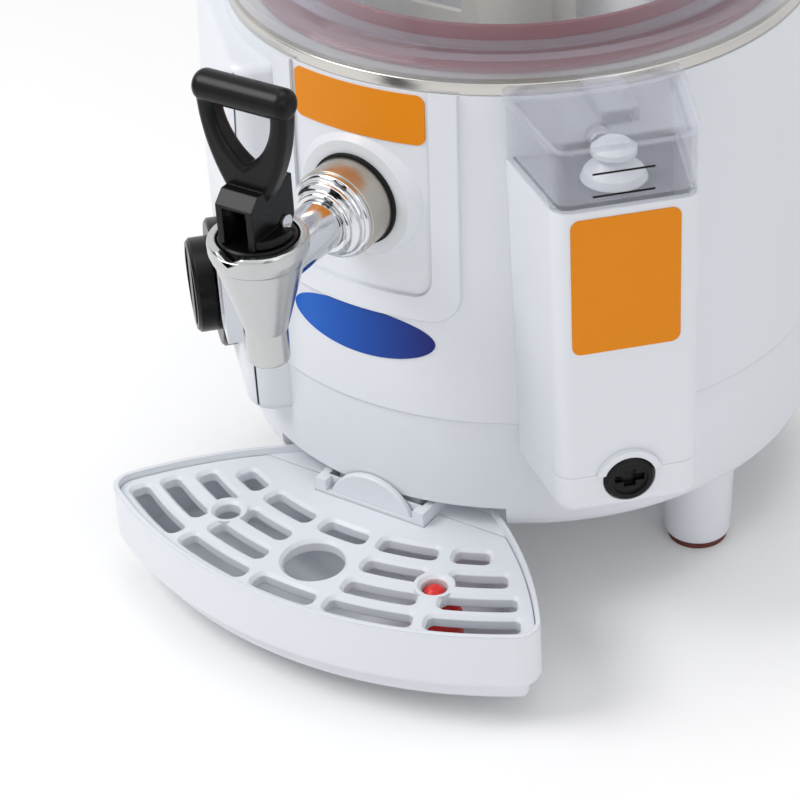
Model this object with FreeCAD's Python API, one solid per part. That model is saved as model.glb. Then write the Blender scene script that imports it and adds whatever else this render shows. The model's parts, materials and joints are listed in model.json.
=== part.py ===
import FreeCAD, Part
import math
import os

os.makedirs("parts", exist_ok=True)
V = FreeCAD.Vector

# Hot chocolate dispenser. Millimetres, +Z up, front of the machine towards -Y.
# The origin is on the axis of the round body, on the surface that the feet stand on.

# Clearances
GAP = 0.4
RUNNING = 0.05
EASY = 0.6

# How far a cut through a wall starts behind the wall and ends in front of it
BEHIND = 40.0
AHEAD = 25.0

# Body shells
SEAM_R = 140.0
TOP_R = 133.4
BODY_TOP = 262.8
SEAM_Z = 104.2
BODY_BASE = 43.5
SEAM_STEP = 0.8
SHELL_WALL = 3.5
BASE_ROUND = 11.0
TOP_FLANGE_WIDE = 25.4
TOP_FLANGE_IN = TOP_R - TOP_FLANGE_WIDE
TOP_FLANGE_THICK = 3.5
BOSS_INSET = 16.0
BOSS_PCD_R = SEAM_R - BOSS_INSET
BOSS_R = 4.5
SHELL_SCREW_R = 1.75
SHELL_SCREW_HEAD_R = 3.2
SHELL_BOSS_ANGLES = (95.0, 165.0, -95.0, -165.0)
UPPER_BOSS_RISE = 16.0

# Feet
FOOT_R = 17.0
FOOT_TAPER = 1.5
FOOT_INSET = 25.7
FOOT_RING_R = SEAM_R - FOOT_INSET
FOOT_ANGLES = (75.0, 140.0, -140.0, -75.0)
PAD_R = 14.0
PAD_THICK = 2.5

# Front panel relief and the tap seat
PANEL_HALF = 47.0
PANEL_ROUND = 14.0
RECESS_HALF = 34.8
RECESS_BASE_Z = 166.0
RECESS_ROUND = 9.0
PANEL_PROUD = 1.6
PANEL_BASE_Z = 154.4
TAP_Z = 208.7
TAP_SEAT_BACK = 2.2
TAP_SEAT_Y = SEAM_R - TAP_SEAT_BACK
TAP_PAD_THICK = 8.3
NUT_FACE_Y = TAP_SEAT_Y - TAP_PAD_THICK
TAP_SEAT_R = 27.0
TAP_HOLE_R = 12.2

# Water box at the right front
WATER_ANGLE = 45.0
WATER_PROUD = 41.5
WATER_FRONT = SEAM_R + WATER_PROUD
WATER_HALF_FRONT = 30.5
WATER_HALF_BACK = 39.5
WATER_SUNK = 22.0
WATER_BACK = SEAM_R - WATER_SUNK
WATER_BASE_Z = 84.0
WATER_CORNER = 8.0
WATER_WALL = 3.0
WINDOW_BASE_Z = 234.5
WINDOW_TOP_Z = 261.6
WINDOW_WALL = 2.2
WINDOW_INSET = 0.6
WATER_LID_THICK = 4.6
WATER_LID_SKIN = 2.2
WATER_LID_RIM = 3.0
KEY_SET = 11.5
KEY_LONG = 31.0
KEY_FRONT = WATER_FRONT - KEY_SET
KEY_BACK = KEY_FRONT - KEY_LONG
KEY_HALF_WIDTH = 8.0
KEY_RISE = 6.0
SENSOR_SET = 21.5
SENSOR_AT = WATER_FRONT - SENSOR_SET
SENSOR_R = 14.0
SENSOR_RISE = 9.5
FLOAT_R = 9.5
FLOAT_STEM_R = 3.2
DRAIN_Z = 100.4
DRAIN_R = 11.2
DRAIN_HOOD_R = 15.0
DRAIN_HOOD_PROUD = 2.0
DRAIN_PIPE_R = 6.0
FILL_PIPE_R = 5.0
FILL_PIPE_Z = 242.6
FILL_PIPE_REACH = 23.0

# Control box at the left front
CONTROL_ANGLE = -45.0
CONTROL_PROUD = 6.7
CONTROL_LEAN = 3.4
CONTROL_FACE = SEAM_R + CONTROL_PROUD
CONTROL_TOP_FACE = CONTROL_FACE - CONTROL_LEAN
CONTROL_SUNK = 28.0
CONTROL_LEFT = -42.0
CONTROL_RIGHT = 56.0
CONTROL_BASE_Z = 77.0
CONTROL_BEND_Z = 178.0
CONTROL_TOP_Z = 256.0
CONTROL_ROUND = 5.0
CONTROL_NEAR_ROUND = 13.0
DIAL_Z = 119.0
DIAL_R = 30.8
DIAL_THICK = 6.7
KNOB_R = 22.7
KNOB_DEPTH = 9.9
KNOB_SHAFT_R = 3.0
SWITCH_AT = 44.0
SWITCH_Z = 140.8
SWITCH_HALF_WIDTH = 11.0
SWITCH_HALF_HEIGHT = 24.2
SWITCH_PROUD = 7.3
LAMP_Z = 85.5
LAMP_R = 3.2
LAMP_PLACES = (-31.0, -19.0)

# Vessels
RING_BAND = 5.4
RING_THICK = 1.5
RING_STEP = 0.5
RING_R = TOP_R - RING_STEP
VESSEL_FLANGE_STEP = 9.4
VESSEL_FLANGE_R = TOP_R - VESSEL_FLANGE_STEP
BOILER_SPACE = 6.0
BOILER_R = TOP_FLANGE_IN - BOILER_SPACE
BOILER_WALL = 2.0
BOILER_BASE_Z = 118.0
WATER_JACKET = 8.0
POT_R = BOILER_R - WATER_JACKET
POT_WALL = 2.0
POT_BASE_Z = 190.0
COLUMN_R = 14.0
COLUMN_TOP_Z = 386.0
SLEEVE_R = 18.0
SPIGOT_R = 14.4
SPIGOT_END = 116.0
HEATER_R = 66.0
HEATER_TUBE_R = 4.2
HEATER_Z = 136.0
HEATER_LEG = 12.0
DRAIN_PIPE_SET = 18.0
DRAIN_PIPE_AT = BOILER_R - DRAIN_PIPE_SET

# Bowl and lid
SEAL_THICK = 1.6
SEAL_LIP_SET = 19.5
SEAL_LIP_RISE = 12.0
BOWL_FLANGE_STEP = 1.9
BOWL_FLANGE_R = TOP_R - BOWL_FLANGE_STEP
BOWL_FLANGE_THICK = 7.0
BOWL_FOOT_WIDE = 10.5
BOWL_R = BOWL_FLANGE_R - BOWL_FOOT_WIDE
SEAL_LIP_R = BOWL_R - SEAL_LIP_SET
BOWL_WALL = 3.5
BOWL_HEIGHT = 160.0
BOWL_RIM_WIDE = 4.0
BOWL_RIM_R = BOWL_R + BOWL_RIM_WIDE
BOWL_RIM_THICK = 4.0
LID_THICK = 3.0
LID_SKIRT = 9.0
LID_CROWN = 8.0
LID_KNOB_R = 19.0
LID_KNOB_RISE = 20.0

# Drive and agitator
SHAFT_R = 5.0
GEAR_MODULE = 1.0
GEAR_TEETH = 60
PINION_TEETH = 12
GEAR_FACE = 7.0
BACKLASH = 0.25
STAND_TOP_Z = 93.0
STAND_THICK = 3.0
GEARBOX_WALL = 3.0
GEARBOX_INSIDE = 11.0
MOTOR_R = 24.0
MOTOR_BASE_Z = 54.0
MOTOR_SHAFT_R = 2.5
BASE_PLATE_R = 104.0
BASE_PLATE_THICK = 2.0
HUB_R = 19.0
HUB_BORE_R = 15.6
BLADE_REACH = 86.0
BLADE_LOW_Z = 197.0
BLADE_HIGH_Z = 252.0
BLADE_THICK = 3.0

# Tap
TAP_REACH = 68.5
TAP_AXIS_Y = TAP_SEAT_Y + TAP_REACH
NOZZLE_Z = 166.0
NOZZLE_R = 9.0
NOZZLE_BORE_R = 6.3
NOZZLE_STRAIGHT = 15.5
CUP_RIM_Z = 226.0
CUP_RIM_R = 21.3
CUP_CREASE_Z = 216.0
CUP_CREASE_R = 19.4
CUP_RECESS_R = 17.4
CHAMBER_R = 9.4
SEAT_Z = 187.0
PIPE_R = 11.3
PIPE_BORE_R = 8.0
PIPE_TAIL = 106.0
GASKET_R = 21.4
GASKET_THICK = 1.6
FERRULE_R = 20.2
FERRULE_LONG = 14.2
COLLAR_STEPS = ((19.6, 3.2), (17.0, 3.4), (14.3, 3.2))
NUT_HALF_FLATS = 15.0
NUT_THICK = 6.0
NUT_PAD_R = 20.0
NUT_PAD_THICK = 4.0
BONNET_R = 16.6
BONNET_TOP_Z = 226.4
STEM_R = 3.0
SPRING_R = 5.6
SPRING_WIRE_R = 0.55
SPRING_TURNS = 5

# Lever
PIVOT_SET = 7.0
PIVOT_Y = TAP_AXIS_Y - PIVOT_SET
PIVOT_Z = 231.0
PIN_R = 2.5
PIN_HEAD_R = 3.3
BLOCK_HALF_WIDTH = 9.0
BLOCK_HALF_DEEP = 14.0
BLOCK_FRONT = TAP_AXIS_Y + BLOCK_HALF_DEEP
BLOCK_BACK = TAP_AXIS_Y - BLOCK_HALF_DEEP
BLOCK_BASE_Z = 227.4
BLOCK_TOP_Z = 250.0
SLOT_HALF_WIDTH = 6.0
SKIRT_R = 15.4
BAR_Z = 289.6
BAR_R = 6.7
BAR_HALF = 23.3
LOOP_HALF = 22.0
EYE_HALF = 13.4
EYE_BASE_Z = 259.5
ARM_R = 5.0

# Drip tray, grille and float
TRAY_SET = 128.0
ARC_CENTRE_Y = SEAM_R - TRAY_SET
TRAY_FRONT_R = 213.0
TRAY_CORNER_X = 119.0
TRAY_CORNER_AHEAD = 175.0
TRAY_CORNER_Y = ARC_CENTRE_Y + TRAY_CORNER_AHEAD
TRAY_BACK_X = 54.5
TRAY_SUNK = 19.5
TRAY_BACK_Y = SEAM_R - TRAY_SUNK
TRAY_SIDE_BULGE = 5.0
TRAY_CORNER_ROUND = 11.0
TRAY_RIM_Z = 51.0
TRAY_BAND_Z = 22.0
TRAY_BASE_Z = 10.0
TRAY_WALL = 2.6
TRAY_STEP = 7.0
GRILLE_TOP_Z = 47.6
GRILLE_THICK = 6.0
GRILLE_SUNK = 8.0
GRILLE_BACK_Y = SEAM_R - GRILLE_SUNK
SLOT_WIDTH = 9.0
SLOT_CORNER = 3.0
HOLE_LAND = 3.4
SLOT_ROWS = (
    (200.2, ((-31.6, -19.8), (-17.9, -6.4), (-4.5, 4.5), (6.4, 17.9), (19.8, 31.6))),
    (185.2, ((-31.2, -20.7), (-17.3, -6.9), (6.9, 17.3), (20.7, 31.2))),
    (168.6, ((-29.8, -21.0), (-17.0, -7.2), (7.2, 17.0), (21.0, 29.8))),
    (152.2, ((-26.6, -20.5), (-17.6, -7.2), (-4.4, 4.4), (7.2, 17.6), (20.5, 26.6))),
)
SMALL_HOLE = (57.0, ARC_CENTRE_Y + 165.1, 6.0)
BIG_HOLE = (0.0, ARC_CENTRE_Y + 176.6, 14.2)
SLOT_CHAMFER = 1.6
LUG_HALF_WIDTH = 30.0
LUG_WALL = 4.0
LUG_FLOOR = 2.5
TUB_BACK_Y = SEAM_R
TRAY_LEDGE = 2.6
LUG_PROUD = 4.0
LUG_FRONT_Y = SEAM_R + LUG_PROUD
LUG_TOP_Z = 54.5
TONGUE_RADIUS = 22.0
TONGUE_RISE = 15.0
TONGUE_THICK = 3.0
POCKET_HALF_ANGLE = 26.6
POCKET_TOP_Z = 57.0
POCKET_BEHIND = 3.0
POCKET_IN_R = TRAY_BACK_Y - POCKET_BEHIND
TRAY_FLOAT_R = 12.0
TRAY_FLOAT_TALL = 20.0

# Labels and the badge: bare plates
LABEL_THICK = 0.4
FRONT_LABEL_HALF = 33.0
FRONT_LABEL_TALL = 22.8
FRONT_LABEL_Z = 249.8
BADGE_HALF_WIDTH = 38.0
BADGE_HALF_HEIGHT = 12.0
BADGE_ANGLE = -1.3
BADGE_Z = 142.1

# Cord inlet at the back
GLAND_Z = 72.0
GLAND_R = 8.0
GLAND_BORE_R = 3.8


def cylinder(radius, low, high, at=(0.0, 0.0)):
    return Part.makeCylinder(radius, high - low, V(at[0], at[1], low))


def tube(outer, inner, low, high, at=(0.0, 0.0)):
    return cylinder(outer, low, high, at).cut(cylinder(inner, low - 1, high + 1, at))


def block(x0, x1, y0, y1, z0, z1):
    return Part.makeBox(x1 - x0, y1 - y0, z1 - z0, V(x0, y0, z0))


def turned(points):
    """Solid of revolution about Z from a closed outline of (radius, height) points."""
    corners = [V(r, 0, z) for r, z in points]
    face = Part.Face(Part.makePolygon(corners + corners[:1]))
    return face.revolve(V(0, 0, 0), V(0, 0, 1), 360)


def prism(points, low, high):
    """Upright prism over a closed plan outline."""
    corners = [V(x, y, low) for x, y in points]
    return Part.Face(Part.makePolygon(corners + corners[:1])).extrude(V(0, 0, high - low))


def outward(shape, angle, height):
    """Turn a shape built along +Z so that it points out from the axis at an angle
    from the front, at a height."""
    placed = shape.copy()
    placed.rotate(V(0, 0, 0), V(1, 0, 0), 90)
    placed.rotate(V(0, 0, 0), V(0, 0, 1), angle)
    placed.translate(V(0, 0, height))
    return placed


def swung(shape, angle):
    """Turn a shape built at the front about the body axis."""
    placed = shape.copy()
    placed.rotate(V(0, 0, 0), V(0, 0, 1), angle)
    return placed


def on_ring(radius, angle):
    """Plan point at a radius and an angle from the front."""
    a = math.radians(angle)
    return (radius * math.sin(a), -radius * math.cos(a))


def sector(outer, inner, half_angle, low, high):
    """Ring sector centred on the front."""
    wedge = Part.makeCylinder(outer, high - low, V(0, 0, low), V(0, 0, 1), 2 * half_angle)
    wedge.rotate(V(0, 0, 0), V(0, 0, 1), -90 - half_angle)
    return wedge.cut(cylinder(inner, low - 1, high + 1))


def round_upright(shape, radius, where):
    """Fillet the upright straight edges whose middle passes a test."""
    picked = []
    for edge in shape.Edges:
        first, last = edge.Vertexes[0].Point, edge.Vertexes[-1].Point
        upright = abs(first.x - last.x) < 1e-6 and abs(first.y - last.y) < 1e-6
        if upright and edge.Length > 1e-3 and where(edge.CenterOfMass):
            picked.append(edge)
    return shape.makeFillet(radius, picked) if picked else shape


def round_level(shape, radius, height, where=None):
    """Fillet the edges that lie level at a height."""
    picked = []
    for edge in shape.Edges:
        box = edge.BoundBox
        level = abs(box.ZMin - height) < 1e-3 and abs(box.ZMax - height) < 1e-3
        if level and (where is None or where(edge.CenterOfMass)):
            picked.append(edge)
    return shape.makeFillet(radius, picked)


def export(name, shape):
    shape.exportStep("parts/" + name + ".step")
    solids = shape.Solids
    print(name, len(solids), "solid(s)", shape.isValid(), round(sum(s.Volume for s in solids)))


def body_radius(z):
    """Outer radius of the upper shell at a height."""
    share = (z - SEAM_Z) / (BODY_TOP - SEAM_Z)
    return SEAM_R + (TOP_R - SEAM_R) * share


def water_plan(inset, back):
    """Plan outline of the water box at the front, moved in by a wall."""
    front = WATER_FRONT - inset
    shoulder = WATER_HALF_FRONT - inset
    base = WATER_HALF_BACK - inset
    reach = (back - WATER_BACK) / (WATER_FRONT - WATER_BACK)
    base += (shoulder - base) * reach
    return [(-base, -back), (-shoulder, -front), (shoulder, -front), (base, -back)]


def water_prism(inset, low, high, back=WATER_BACK):
    solid = prism(water_plan(inset, back), low, high)
    corner = max(WATER_CORNER - inset, 1.0)
    front_row = -WATER_FRONT + inset + 1.0
    return round_upright(solid, corner, lambda p: p.y < front_row)


def water_housing():
    """Closed outer form of the water box below its window."""
    solid = water_prism(0.0, WATER_BASE_Z, WINDOW_BASE_Z)
    solid = round_level(solid, WATER_CORNER - 1.0, WATER_BASE_Z, lambda p: p.y < -WATER_BACK - 1)
    return swung(solid, WATER_ANGLE)


def water_cavity():
    low = WATER_BASE_Z + WATER_WALL
    return swung(water_prism(WATER_WALL, low, WINDOW_BASE_Z + 1, WATER_BACK - 4), WATER_ANGLE)


def control_prism(inset):
    """Full-height control box: upright to the bend, then leaning back a little."""
    left, right = CONTROL_LEFT + inset, CONTROL_RIGHT - inset
    face, top_face = CONTROL_FACE - inset, CONTROL_TOP_FACE - inset
    low, high = CONTROL_BASE_Z + inset, CONTROL_TOP_Z - inset
    side = [V(left, -(SEAM_R - CONTROL_SUNK), low), V(left, -face, low), V(left, -face, CONTROL_BEND_Z),
            V(left, -top_face, high), V(left, -(SEAM_R - CONTROL_SUNK), high)]
    solid = Part.Face(Part.makePolygon(side + side[:1])).extrude(V(right - left, 0, 0))
    if inset:
        return swung(solid, CONTROL_ANGLE)
    front = [e for e in solid.Edges if e.BoundBox.YMax < -top_face + 0.1]
    near = [e for e in front if abs(e.CenterOfMass.x - right) < 0.1]
    solid = solid.makeFillet(CONTROL_NEAR_ROUND, near)
    rest = [e for e in solid.Edges if e.BoundBox.YMax < -top_face + CONTROL_NEAR_ROUND + 0.1
            and (abs(e.BoundBox.XMax - left) < 0.1 or e.BoundBox.ZLength < 0.1)]
    return swung(solid.makeFillet(CONTROL_ROUND, rest), CONTROL_ANGLE)


def shell_screw_posts(low, high):
    posts = [cylinder(BOSS_R, low, high, on_ring(BOSS_PCD_R, a)) for a in SHELL_BOSS_ANGLES]
    return posts[0].multiFuse(posts[1:])


def shell_screw_holes(low, high, radius):
    holes = [cylinder(radius, low, high, on_ring(BOSS_PCD_R, a)) for a in SHELL_BOSS_ANGLES]
    return holes[0].multiFuse(holes[1:])


def outward_hole(radius, near, far, angle, height, across=0.0):
    return outward(cylinder(radius, near, far, (across, 0.0)), angle, height)


def front_plate(half, low, corner):
    """Plate through the front wall with rounded lower corners, up past the body's top."""
    high = BODY_TOP + 40.0
    plate = block(-half, half, -(high - low) / 2, (high - low) / 2, SEAM_R - BEHIND, SEAM_R + AHEAD)
    plate = round_upright(plate, corner, lambda p: True)
    plate = outward(plate, 0, (low + high) / 2.0)
    return plate.cut(block(-300, 300, -300, 300, BODY_TOP, high + 10))


def make_upper_shell():
    outer = turned([(0, SEAM_Z), (SEAM_R, SEAM_Z), (TOP_R, BODY_TOP), (0, BODY_TOP)])
    above = block(-300, 300, -300, 300, SEAM_Z, BODY_TOP + 50)
    panel = front_plate(PANEL_HALF, PANEL_BASE_Z, PANEL_ROUND)
    recess = front_plate(RECESS_HALF, RECESS_BASE_Z, RECESS_ROUND)
    cone = turned([(0, SEAM_Z), (SEAM_R + PANEL_PROUD, SEAM_Z),
                   (TOP_R + PANEL_PROUD, BODY_TOP), (0, BODY_TOP)])
    seat = outward(Part.makeCone(TAP_SEAT_R + 6, TAP_SEAT_R, TAP_SEAT_Y - NUT_FACE_Y,
                                V(0, 0, NUT_FACE_Y)), 0, TAP_Z)
    hood = outward_hole(DRAIN_HOOD_R, WATER_FRONT - 6, WATER_FRONT + DRAIN_HOOD_PROUD, WATER_ANGLE, DRAIN_Z)
    outer = outer.multiFuse([panel.cut(recess).common(cone), seat, water_housing().common(above),
                             control_prism(0.0).common(above), hood.common(above)])
    inner = turned([(0, SEAM_Z - 1), (SEAM_R - SHELL_WALL, SEAM_Z - 1),
                    (SEAM_R - SHELL_WALL, SEAM_Z),
                    (TOP_R - SHELL_WALL, BODY_TOP - TOP_FLANGE_THICK),
                    (0, BODY_TOP - TOP_FLANGE_THICK)])
    nut_flat = outward_hole(TAP_SEAT_R, NUT_FACE_Y - AHEAD, NUT_FACE_Y, 0, TAP_Z)
    pad = outward(cylinder(NUT_PAD_R, NUT_FACE_Y, NUT_FACE_Y + NUT_PAD_THICK), 0, TAP_Z)
    shell = outer.cut(inner.fuse(nut_flat)).fuse(pad).cut(water_cavity()).cut(control_prism(SHELL_WALL))
    shell = shell.cut(cylinder(TOP_FLANGE_IN, SEAM_Z, BODY_TOP + 1))
    shell = shell.cut(outward_hole(TAP_HOLE_R, NUT_FACE_Y - 1, SEAM_R + AHEAD, 0, TAP_Z))
    shell = shell.cut(outward_hole(TAP_SEAT_R - 2, TAP_SEAT_Y, SEAM_R + AHEAD, 0, TAP_Z))
    shell = shell.cut(outward_hole(FILL_PIPE_R + GAP, TOP_R - AHEAD, TOP_R + 10, WATER_ANGLE, FILL_PIPE_Z))
    shell = shell.cut(outward_hole(DRAIN_R + GAP, WATER_FRONT - 16, WATER_FRONT + AHEAD, WATER_ANGLE, DRAIN_Z))
    shell = shell.cut(outward_hole(KNOB_SHAFT_R + 5, SEAM_R - 10, SEAM_R + AHEAD, CONTROL_ANGLE, DIAL_Z))
    opening = block(SWITCH_AT - SWITCH_HALF_WIDTH + 3, SWITCH_AT + SWITCH_HALF_WIDTH - 3,
                    -SEAM_R - 20, -SEAM_R + 5, SWITCH_Z - SWITCH_HALF_HEIGHT + 6, SWITCH_Z + SWITCH_HALF_HEIGHT - 6)
    shell = shell.cut(swung(opening, CONTROL_ANGLE))
    posts = shell_screw_posts(SEAM_Z, SEAM_Z + UPPER_BOSS_RISE)
    posts = posts.fuse(make_post_webs(SEAM_Z, SEAM_Z + UPPER_BOSS_RISE))
    shell = shell.fuse(posts)
    return shell.cut(shell_screw_holes(SEAM_Z - 1, SEAM_Z + UPPER_BOSS_RISE - 3, SHELL_SCREW_R))


def make_post_webs(low, high):
    """Short ribs that carry the screw posts from the wall."""
    webs = [swung(block(-1.5, 1.5, -SEAM_R + 1.0, -BOSS_PCD_R - BOSS_R + 1, low, high), a)
            for a in SHELL_BOSS_ANGLES]
    inside = turned([(0, low), (SEAM_R - 2, low), (body_radius(high) - 2, high), (0, high)])
    return webs[0].multiFuse(webs[1:]).common(inside)


def make_lower_shell():
    radius = SEAM_R - SEAM_STEP
    outer = round_level(cylinder(radius, BODY_BASE, SEAM_Z), BASE_ROUND, BODY_BASE)
    below = block(-300, 300, -300, 300, 0, SEAM_Z)
    outer = outer.multiFuse([water_housing().common(below), control_prism(0.0).common(below)])
    floor = BODY_BASE + SHELL_WALL
    inner = round_level(cylinder(radius - SHELL_WALL, floor, SEAM_Z + 1),
                        BASE_ROUND - SHELL_WALL, floor)
    inner = inner.multiFuse([water_cavity(), control_prism(SHELL_WALL)])
    pocket_walls = sector(radius, POCKET_IN_R - SHELL_WALL, POCKET_HALF_ANGLE + 1.6,
                          BODY_BASE, POCKET_TOP_Z + SHELL_WALL)
    shell = outer.cut(inner).fuse(pocket_walls.common(outer))
    shell = shell.cut(sector(SEAM_R + 5, POCKET_IN_R, POCKET_HALF_ANGLE, BODY_BASE - 1, POCKET_TOP_Z))
    shell = shell.cut(outward_hole(DRAIN_R + GAP, WATER_FRONT - 16, WATER_FRONT + AHEAD, WATER_ANGLE, DRAIN_Z))
    shell = shell.cut(outward_hole(KNOB_SHAFT_R + 5, SEAM_R - 10, SEAM_R + AHEAD, CONTROL_ANGLE, DIAL_Z))
    shell = shell.cut(outward_hole(GLAND_R, SEAM_R - 10, SEAM_R + 10, 180, GLAND_Z))
    for across in LAMP_PLACES:
        shell = shell.cut(outward_hole(LAMP_R + GAP, SEAM_R - 10, SEAM_R + AHEAD, CONTROL_ANGLE, LAMP_Z,
                                       across))
    shell = shell.fuse(shell_screw_posts(floor - 1, SEAM_Z))
    shell = shell.cut(shell_screw_holes(BODY_BASE - 1, SEAM_Z + 1, SHELL_SCREW_R + GAP))
    return shell.cut(shell_screw_holes(BODY_BASE - 1, BODY_BASE + 4, SHELL_SCREW_HEAD_R + GAP))


def make_feet():
    legs, pads = [], []
    for angle in FOOT_ANGLES:
        at = on_ring(FOOT_RING_R, angle)
        leg = Part.makeCone(FOOT_R - FOOT_TAPER, FOOT_R, BODY_BASE - PAD_THICK,
                            V(at[0], at[1], PAD_THICK))
        legs.append(round_level(leg, 3.0, PAD_THICK))
        pads.append(cylinder(PAD_R, 0, PAD_THICK, at))
    return Part.makeCompound(legs), Part.makeCompound(pads)


def make_shell_screws():
    screws = []
    for angle in SHELL_BOSS_ANGLES:
        at = on_ring(BOSS_PCD_R, angle)
        shank = cylinder(SHELL_SCREW_R - RUNNING, BODY_BASE + 1.6, SEAM_Z + UPPER_BOSS_RISE - 4, at)
        head = cylinder(SHELL_SCREW_HEAD_R, BODY_BASE + 1.6, BODY_BASE + 4, at)
        slot = block(at[0] - 2.4, at[0] + 2.4, at[1] - 0.5, at[1] + 0.5, BODY_BASE, BODY_BASE + 2.6)
        cross = block(at[0] - 0.5, at[0] + 0.5, at[1] - 2.4, at[1] + 2.4, BODY_BASE, BODY_BASE + 2.6)
        screws.append(shank.fuse(head).cut(slot.fuse(cross)))
    return Part.makeCompound(screws)


RING_TOP = BODY_TOP + RING_BAND
PLATE_UNDER = RING_TOP - RING_THICK
POT_FLANGE_UNDER = PLATE_UNDER - POT_WALL
BOILER_FLANGE_UNDER = BODY_TOP
BOILER_FLANGE_TOP = POT_FLANGE_UNDER


def make_trim_ring():
    return turned([(POT_R + 6, PLATE_UNDER), (RING_R - RING_THICK, PLATE_UNDER),
                   (RING_R - RING_THICK, BODY_TOP), (RING_R, BODY_TOP), (RING_R, RING_TOP),
                   (POT_R + 6, RING_TOP)])


def make_boiler():
    wall = BOILER_R - BOILER_WALL
    base = BOILER_BASE_Z + BOILER_WALL
    vessel = turned([
        (SLEEVE_R - BOILER_WALL, BOILER_BASE_Z), (BOILER_R, BOILER_BASE_Z),
        (BOILER_R, BOILER_FLANGE_UNDER), (VESSEL_FLANGE_R, BOILER_FLANGE_UNDER),
        (VESSEL_FLANGE_R, BOILER_FLANGE_TOP), (wall, BOILER_FLANGE_TOP), (wall, base),
        (SLEEVE_R, base), (SLEEVE_R, POT_BASE_Z), (SLEEVE_R - BOILER_WALL, POT_BASE_Z)])
    vessel = vessel.cut(outward_hole(SPIGOT_R + 4, BOILER_R - 12, BOILER_R + 18, 0, TAP_Z))
    vessel = vessel.cut(outward_hole(FILL_PIPE_R - 1.2, BOILER_R - 22, BOILER_R + 18, WATER_ANGLE, FILL_PIPE_Z))
    for side in (-1, 1):
        at = (side * HEATER_LEG, HEATER_R)
        vessel = vessel.cut(cylinder(HEATER_TUBE_R + GAP, BOILER_BASE_Z - 8, BOILER_BASE_Z + 12, at))
    return vessel.cut(cylinder(DRAIN_PIPE_R - 1.2, BOILER_BASE_Z - 8, BOILER_BASE_Z + 12,
                               on_ring(DRAIN_PIPE_AT, WATER_ANGLE)))


def make_pot():
    wall = POT_R - POT_WALL
    base = POT_BASE_Z + POT_WALL
    pot = turned([
        (COLUMN_R - POT_WALL, POT_BASE_Z), (POT_R, POT_BASE_Z), (POT_R, POT_FLANGE_UNDER),
        (VESSEL_FLANGE_R, POT_FLANGE_UNDER), (VESSEL_FLANGE_R, PLATE_UNDER),
        (wall, PLATE_UNDER), (wall, base), (COLUMN_R, base), (COLUMN_R, COLUMN_TOP_Z),
        (COLUMN_R - POT_WALL, COLUMN_TOP_Z)])
    spigot = outward(cylinder(SPIGOT_R, POT_R - 6, SPIGOT_END), 0, TAP_Z)
    spigot = spigot.cut(cylinder(wall, POT_BASE_Z, POT_FLANGE_UNDER))
    bore = outward(cylinder(PIPE_BORE_R, POT_R - 20, SPIGOT_END + 1), 0, TAP_Z)
    socket = outward(cylinder(PIPE_R + GAP, PIPE_TAIL, SPIGOT_END + 1), 0, TAP_Z)
    return pot.fuse(spigot).cut(bore.fuse(socket))


def make_heater():
    """Ring heater with two legs down through the boiler floor."""
    ring = Part.makeTorus(HEATER_R, HEATER_TUBE_R, V(0, 0, HEATER_Z), V(0, 0, 1))
    gap = block(-14, 14, HEATER_R - 20, HEATER_R + 20, HEATER_Z - 10, HEATER_Z + 10)
    parts = [ring.cut(gap)]
    for side in (-1, 1):
        parts.append(cylinder(HEATER_TUBE_R, BOILER_BASE_Z - 10, HEATER_Z, (side * HEATER_LEG, HEATER_R)))
        parts.append(Part.makeSphere(HEATER_TUBE_R * 1.3, V(side * 12.0, HEATER_R, HEATER_Z)))
    return parts[0].multiFuse(parts[1:])


def make_vessel_seals():
    """Rubber seals of the two vessels: heater collars, outlet grommet and the tap's tail ring."""
    seals = [tube(HEATER_TUBE_R + 4, HEATER_TUBE_R + RUNNING, BOILER_BASE_Z - 5, BOILER_BASE_Z,
                  (side * HEATER_LEG, HEATER_R)) for side in (-1, 1)]
    grommet = outward(tube(SPIGOT_R + 4, SPIGOT_R, BOILER_R - 4, BOILER_R + 3), 0, TAP_Z)
    seals.append(grommet.cut(cylinder(POT_R + 3, TAP_Z - 30, TAP_Z + 30)))
    seals.append(outward(tube(PIPE_R + GAP, PIPE_R, PIPE_TAIL + 4, PIPE_TAIL + 7), 0, TAP_Z))
    return Part.makeCompound(seals)


def make_bowl_seal():
    return turned([(POT_R + 6, RING_TOP), (BOWL_R, RING_TOP), (BOWL_R, RING_TOP + SEAL_THICK),
                   (SEAL_LIP_R + 2.4, RING_TOP + SEAL_THICK),
                   (SEAL_LIP_R + 2.4, RING_TOP + SEAL_LIP_RISE),
                   (SEAL_LIP_R, RING_TOP + SEAL_LIP_RISE), (SEAL_LIP_R, RING_TOP + 2.5),
                   (POT_R + 6, RING_TOP + 2.5)])


BOWL_BASE = RING_TOP + SEAL_THICK + 0.1
BOWL_TOP = BOWL_BASE + BOWL_HEIGHT


def make_bowl():
    inner = BOWL_R - BOWL_WALL
    mouth = SEAL_LIP_R + 2.4 + GAP
    floor = BOWL_BASE + 4.0
    flange = BOWL_BASE + BOWL_FLANGE_THICK
    return turned([
        (mouth, BOWL_BASE), (BOWL_FLANGE_R, BOWL_BASE), (BOWL_FLANGE_R, flange - 2),
        (BOWL_FLANGE_R - 2, flange), (BOWL_R + 2, flange), (BOWL_R, flange + 2),
        (BOWL_R, BOWL_TOP - BOWL_RIM_THICK), (BOWL_RIM_R, BOWL_TOP - BOWL_RIM_THICK),
        (BOWL_RIM_R, BOWL_TOP), (inner, BOWL_TOP), (inner, floor + 4), (inner - 4, floor),
        (mouth, floor)])


LID_BASE = BOWL_TOP + 0.1


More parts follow.
